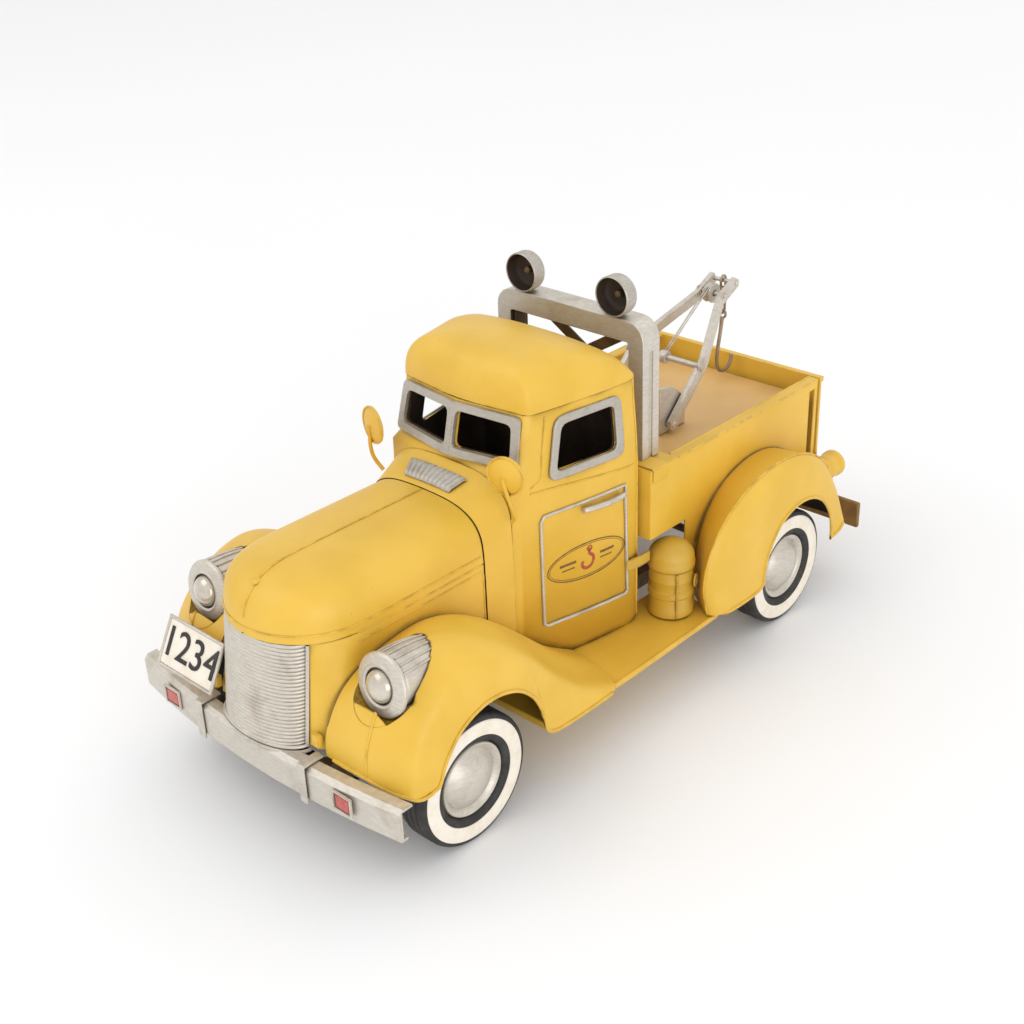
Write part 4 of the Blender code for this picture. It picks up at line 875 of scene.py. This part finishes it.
# Licence plate: an enamelled tin plate with pressed numerals in a silver tube frame,
# leaning on the right fender.
plate_place = Matrix.Translation(mm(-51.5, -57.5, 78.0)) @ Matrix.Rotation(math.radians(-28.0), 4, "X")
enamel = bmesh.new()
bmesh.ops.create_cube(enamel, size=1.0)
bmesh.ops.scale(enamel, vec=(0.0420, 0.0014, 0.0240), verts=enamel.verts)
bmesh.ops.bevel(enamel, geom=enamel.edges, offset=0.0004, offset_type="OFFSET", **corners)
enamel.transform(plate_place)
piece("plate_enamel", enamel, cream, "truck", "white_enamel", "licence_plate")
corner_spots = ((-0.0216, -0.0126), (0.0216, -0.0126), (0.0216, 0.0126), (-0.0216, 0.0126))
frame_loop = [plate_place @ Vector((x, -0.0004, z)) for x, z in corner_spots]
piece(
    "plate_frame", drawn(frame_loop, 1.1, closed=True, sides=3), silver, "truck", "silver_paint", angle=60.0
)
numerals_curve = bpy.data.curves.new("numerals", "FONT")
numerals_curve.body = "1234"
numerals_curve.size = 0.0225
numerals_curve.align_x = "CENTER"
numerals_curve.align_y = "CENTER"
numerals_curve.extrude = 0.0003
numerals_curve.resolution_u = 4
numerals_line = bpy.data.objects.new("numerals_line", numerals_curve)
bpy.context.scene.collection.objects.link(numerals_line)
evaluated = numerals_line.evaluated_get(bpy.context.evaluated_depsgraph_get())
numerals_mesh = bpy.data.meshes.new_from_object(evaluated)
bpy.data.objects.remove(numerals_line)
numerals = bmesh.new()
numerals.from_mesh(numerals_mesh)
bpy.data.meshes.remove(numerals_mesh)
bmesh.ops.remove_doubles(numerals, verts=numerals.verts, dist=0.000005)
raised = Matrix.Translation((0.0, -0.0009, 0.0)) @ Matrix.Rotation(math.radians(90.0), 4, "X")
numerals.transform(plate_place @ raised)
piece("plate_numerals", numerals, rubber, "truck", "black_rubber")

# Mirrors: a dished yellow disc with a rolled rim and a silvered face, on a wire stalk
# screwed to the corner of the cowl.
for side, label in ((1, "left"), (-1, "right")):
    head = mm(side * 48.0, 70.0, 158.6)
    ahead = Matrix.Rotation(math.radians(14.0 * side), 4, "Z") @ Vector((0.0, -1.0, 0.0))
    dish = [(0.0, 2.3), (3.0, 2.1), (6.0, 1.5), (8.4, 0.6), (9.4, 0.2)]
    dish += [(9.8, 0.7), (10.4, 0.7), (10.6, 0.1), (10.3, -0.9)]
    dish += [(9.6, -1.1), (9.4, -0.6), (0.0, -0.6), (0.0, 2.3)]
    face = [(0.0, -0.5), (9.3, -0.5), (9.3, -0.9), (0.0, -1.2)]
    post = [head + ahead * 0.0026, mm(side * 48.6, 68.0, 155.0), mm(side * 50.4, 69.2, 147.0)]
    post += [mm(side * 51.2, 71.0, 140.0), mm(side * 50.4, 73.0, 135.0), mm(side * 47.0, 74.0, 131.0)]
    shape = gathered(spun(dish, head, ahead, 48), drawn(bent(post, 24), 1.1))
    piece(f"mirror_dish_{label}", shape, yellow, "truck", "yellow_paint", f"mirror_{label}", angle=45.0)
    piece(f"mirror_face_{label}", spun(face, head, ahead, 48), glass, "truck", "silver_paint")

# Fuel canister: a turned tin can with a domed lid, rolled bands, an upright strap with
# a ring through it, and an arm that steadies it against the cab.
# The canister's yellow is painted darker than the rest: painted shade.
shaded_yellow = yellow_finish("canister_enamel", 0.78)
can_centre = mm(66.0, 180.5, 0.0)
can_profile = [(0.0, 37.4), (12.0, 37.4), (12.8, 38.2), (12.8, 42.6)]
can_profile += [(12.2, 43.4), (12.2, 49.4), (12.9, 50.2), (12.9, 53.8)]
can_profile += [(12.2, 54.6), (12.2, 59.0), (12.6, 59.6), (12.6, 60.8)]
can_profile += [(12.2, 61.4), (12.2, 66.2), (11.4, 67.0), (0.0, 67.0)]
lid_profile = [(0.0, 67.4), (13.0, 67.4), (13.3, 68.0), (13.3, 70.4)]
lid_profile += [(12.9, 71.0), (12.9, 73.4), (12.2, 75.9), (10.6, 78.3)]
lid_profile += [(8.0, 80.2), (4.6, 81.5), (0.0, 82.0)]
upward = (0.0, 0.0, 1.0)
piece(
    "canister_can", spun(can_profile, can_centre, upward), shaded_yellow, "truck", "yellow_paint", "canister", angle=40.0
)
piece(
    "canister_cap", spun(lid_profile, can_centre, upward), shaded_yellow, "truck", "yellow_paint", "canister_lid", angle=40.0
)
arm = piece(
    "canister_arm", copied("canister_strap"), shaded_yellow, "truck", "yellow_paint", "canister_strap"
)
softened(arm, 0.3)
strap = []
for heading in (-38.0, 52.0):
    turn = math.radians(heading)
    reach = Vector((math.cos(turn), math.sin(turn), 0.0))
    run = [can_centre + reach * 0.0131 + Vector((0.0, 0.0, z * 0.001)) for z in (38.6, 44.0, 56.0, 66.4)]
    strap.append(drawn(run, 0.7))
turn = math.radians(20.0)
reach = Vector((math.cos(turn), math.sin(turn), 0.0))
ring_middle = can_centre + reach * 0.0142 + Vector((0.0, 0.0, 0.0590))
loop = []
for k in range(24):
    a = 2 * math.pi * k / 24
    sideways = Vector((-reach.y, reach.x, 0.0)) * math.cos(a) * 0.0026
    loop.append(ring_middle + sideways + Vector((0.0, 0.0, math.sin(a) * 0.0036)))
strap.append(drawn(loop, 0.6, closed=True))
piece("canister_straps", gathered(*strap), shaded_yellow, "truck", "yellow_paint")

# Bed: a folded tin box with rolled rails and a flat deck, rubbed paler, with a
# folded bracket at each front corner and a tailgate hinged along its lower edge.
bed_shell = piece("bed_shell", copied("bed_box"), yellow, "truck", "yellow_paint", "bed_box")
softened(bed_shell, 0.6)
deck_yellow = yellow_finish("deck_enamel", 0.95, 0.15)
deck = piece("bed_floor", copied("bed_deck"), deck_yellow, "truck", "yellow_paint", "bed_deck")
softened(deck, 0.4)
gate = piece("gate_panel", copied("tailgate"), yellow, "tailgate", "yellow_paint", "tailgate")
softened(gate, 0.5)
rails = []
for side in (1, -1):
    rails.append(drawn([mm(side * 56.6, y, 127.6) for y in (190.5, 327.5)], 0.9))
    rails.append(drawn([mm(side * 62.4, y, 127.6) for y in (190.5, 318.5)], 0.7))
    fold = bmesh.new()
    spots = [(46.0, 128.9), (62.2, 128.9), (63.3, 128.0), (63.3, 121.0)]
    verts = [fold.verts.new(mm(side * x, 167.5, z)) for x, z in spots]
    edges = [fold.edges.new(pair) for pair in zip(verts, verts[1:])]
    grown = bmesh.ops.extrude_edge_only(fold, edges=edges)["geom"]
    bmesh.ops.translate(
        fold, vec=(0, 0.0125, 0), verts=[g for g in grown if isinstance(g, bmesh.types.BMVert)]
    )
    bmesh.ops.recalc_face_normals(fold, faces=fold.faces)
    bmesh.ops.solidify(fold, geom=fold.faces, thickness=0.0007)
    bmesh.ops.recalc_face_normals(fold, faces=fold.faces)
    bracket = piece(f"bed_bracket_{'left' if side > 0 else 'right'}", fold, yellow, "truck", "yellow_paint")
    softened(bracket, 0.2)
piece("bed_rail_beads", gathered(*rails), yellow, "truck", "yellow_paint")

# Tail lights: a turned yellow can a side with a red lens in its end, on the back of
# each rear fender. Behind the frame hangs a folded bumper, painted mustard brown as painted shade.
for side, label in ((1, "left"), (-1, "right")):
    tail_centre = mm(side * 71.4, 330.0, 71.0)
    can = [(6.0, 7.4), (6.4, 8.4), (7.6, 8.4), (8.2, 7.6), (8.2, 4.8)]
    can += [(7.7, 4.2), (7.6, -2.0), (7.9, -2.6), (7.9, -4.0), (7.6, -4.6)]
    can += [(7.6, -10.0), (6.0, -10.0), (6.0, 7.4)]
    lens = [(0.0, 9.0), (2.4, 8.8), (4.6, 8.1), (6.0, 7.2), (6.0, 5.0), (0.0, 5.0)]
    rearward = (0.0, 1.0, 0.0)
    shape = spun(can, tail_centre, rearward, 48)
    piece(f"tail_can_{label}", shape, yellow, "truck", "yellow_paint", f"tail_light_{label}")
    piece(f"tail_lens_{label}", spun(lens, tail_centre, rearward, 48), red, "truck", "red_lens")
# The rear bumper's mustard brown is painted shade on a face that stands in shadow.
mustard_brown_painted_shade = brown_finish("mustard_brown_painted_shade", (0.17, 0.085, 0.022), (0.30, 0.16, 0.04), 0.5, 0.1)
rear_bar = piece(
    "rear_bumper_bar", copied("rear_bumper"), mustard_brown_painted_shade, "truck", "brown_metal", "rear_bumper"
)
softened(rear_bar, 0.8, 3)

# Tower: a welded channel portal in silver paint, with painted shade on its front and back
# faces and on its inner faces, straps crossed behind it painted umber as painted shade and dirt,
# and two round work lamps on top with painted shade inside.
tower_silver_painted_shade = silver_finish("tower_silver_painted_shade", 0.68, 0.5)
tower = piece(
    "tower_portal", copied("tower_frame"), silver, "truck", "silver_paint", "tower_frame", angle=35.0
)
# Faces that look forwards or back take a darker silver, and faces turned in take near-black: both painted shade.
tower.data.materials.append(tower_silver_painted_shade)
tower.data.materials.append(painted_shade_brown)
for face in tower.data.polygons:
    if abs(face.normal.y) > 0.7:
        face.material_index = 1
    elif face.normal.dot(Vector((face.center.x, 0.0, face.center.z - 0.150))) < 0.0:
        face.material_index = 2
softened(tower, 0.7)
# The straps take umber over their silver: painted shade, with some dirt.
straps = piece("tower_straps", copied("tower_brace"), umber, "truck", "brown_metal", "tower_brace")
softened(straps, 0.25)
cup_profile = [(0.0, 5.2), (7.8, 5.2), (9.6, 4.6), (10.6, 3.4), (11.0, 1.8)]
cup_profile += [(11.0, -4.0), (10.8, -4.6), (10.3, -4.8), (10.1, -4.4)]
cup_profile += [(10.0, 1.6), (9.2, 3.0), (7.6, 3.9), (0.0, 4.2), (0.0, 5.2)]
tab_profile = [(0.0, 3.6), (1.6, 3.6), (1.9, 3.0), (1.9, 0.6), (1.2, -0.2), (0.0, -0.4)]
for side, label in ((1, "left"), (-1, "right")):
    cup_centre = mm(side * 32.0, 175.0, 218.1)
    rearward = (0.0, 1.0, 0.0)
    cup = piece(f"work_cup_{label}", spun(cup_profile, cup_centre, rearward), dull_silver, "truck", "silver_paint",
                f"work_lamp_{label}", angle=50.0)
    # The inner wall of each cup is painted near-black: painted shade.
    cup.data.materials.append(painted_shade_brown)
    for face in cup.data.polygons:
        from_axis = face.center - cup_centre
        from_axis.y = 0.0
        facing_in = face.normal.dot(from_axis) <= 0.0001 and face.normal.y < 0.5
        inner_wall = from_axis.length < 0.01015 and facing_in
        if inner_wall and face.center.y - cup_centre.y > -0.0046:
            face.material_index = 1
    piece(f"work_bulb_{label}", spun(tab_profile, cup_centre, rearward, 32), umber, "truck", "brown_metal")
    stem = [(3.0, -1.2), (3.4, -0.6), (3.4, 0.2), (2.2, 0.8), (1.8, 1.4)]
    foot = spun(stem, mm(side * 32.0, 177.0, 206.6), (0.0, 0.0, 1.0), 32)
    piece(f"work_foot_{label}", foot, silver, "truck", "silver_paint")

# Boom: two bent steel arms that lift on a pair of quadrant plates, joined by a rod and
# two pins, with a taut double wire, a grooved pulley, a short chain and a forged hook.
boom = piece("boom_arms", copied("boom_frame"), silver, "boom", "silver_paint", "boom_frame", angle=35.0)
softened(boom, 0.5, angle=35.0)
washer_spots = [(233.0, 121.0, 3.4, 25.0), (258.0, 149.0, 3.2, 25.0)]
washer_spots += [(303.0, 176.0, 2.6, 8.0), (315.0, 180.5, 2.6, 8.0)]
washers = []
for side in (1, -1):
    for y, z, r, reach in washer_spots:
        ring = [(0.0, 2.6), (r * 0.5, 2.5), (r * 0.62, 2.2), (r * 0.64, 1.9), (r, 1.8), (r, 1.0), (0.0, 1.0)]
        washers.append(spun(ring, mm(side * reach, y, z), (side, 0.0, 0.0), 24))
collar = [(1.9, 2.4), (3.6, 2.4), (3.9, 1.6), (3.9, -1.6), (3.6, -2.4), (1.9, -2.4), (1.9, 2.4)]
washers.append(spun(collar, mm(0.0, 258.0, 149.0), (1.0, 0.0, 0.0), 32))
piece("boom_washers", gathered(*washers), silver, "boom", "silver_paint", angle=30.0)
lines = []
for offset in (-0.75, 0.75):
    lines.append(drawn([mm(offset, 259.5, 151.9), mm(offset, 281.0, 167.2), mm(offset, 299.6, 180.0)], 0.45))
piece("boom_wire", gathered(*lines), silver, "boom", "silver_paint", "hoist_wire")
sheave = [(1.9, 2.4), (5.9, 2.4), (6.0, 1.9), (5.0, 1.2), (4.4, 0.5)]
sheave += [(4.4, -0.5), (5.0, -1.2), (6.0, -1.9), (5.9, -2.4), (1.9, -2.4)]
sheave.append((1.9, 2.4))
wheel = spun(sheave, mm(0.0, 303.0, 176.0), (1.0, 0.0, 0.0), 48)
piece("boom_sheave", wheel, silver, "pulley", "silver_paint", "pulley")
for side, label in ((1, "left"), (-1, "right")):
    quadrant = piece(f"boom_quadrant_{label}", copied(f"boom_bracket_{label}"), silver, "truck", "silver_paint",
                     f"boom_bracket_{label}")
    softened(quadrant, 0.3)

rust = brown_finish("tarnished_chain", (0.22, 0.155, 0.095), (0.40, 0.32, 0.22), 0.42, 0.5)
links = []
for k, z in enumerate((178.4, 171.3, 164.2)):
    across = Vector((0.0, 1.0, 0.0)) if k % 2 == 0 else Vector((1.0, 0.0, 0.0))
    oval = []
    for step in range(24):
        a = 2 * math.pi * step / 24
        tall = math.sin(a) * 2.4 + (2.5 if math.sin(a) > 0 else -2.5)
        oval.append(mm(0.0, 315.0, z) + (across * math.cos(a) * 2.4 + Vector((0.0, 0.0, 1.0)) * tall) * 0.001)
    links.append(drawn(oval, 0.8, closed=True))
piece("chain_links", gathered(*links), rust, "chain_link", "brown_metal", "chain_link")
hook = piece(
    "hook_body", creased(copied("tow_hook"), 75.0), rust, "tow_hook", "brown_metal", "tow_hook", angle=60.0
)
curved(hook)
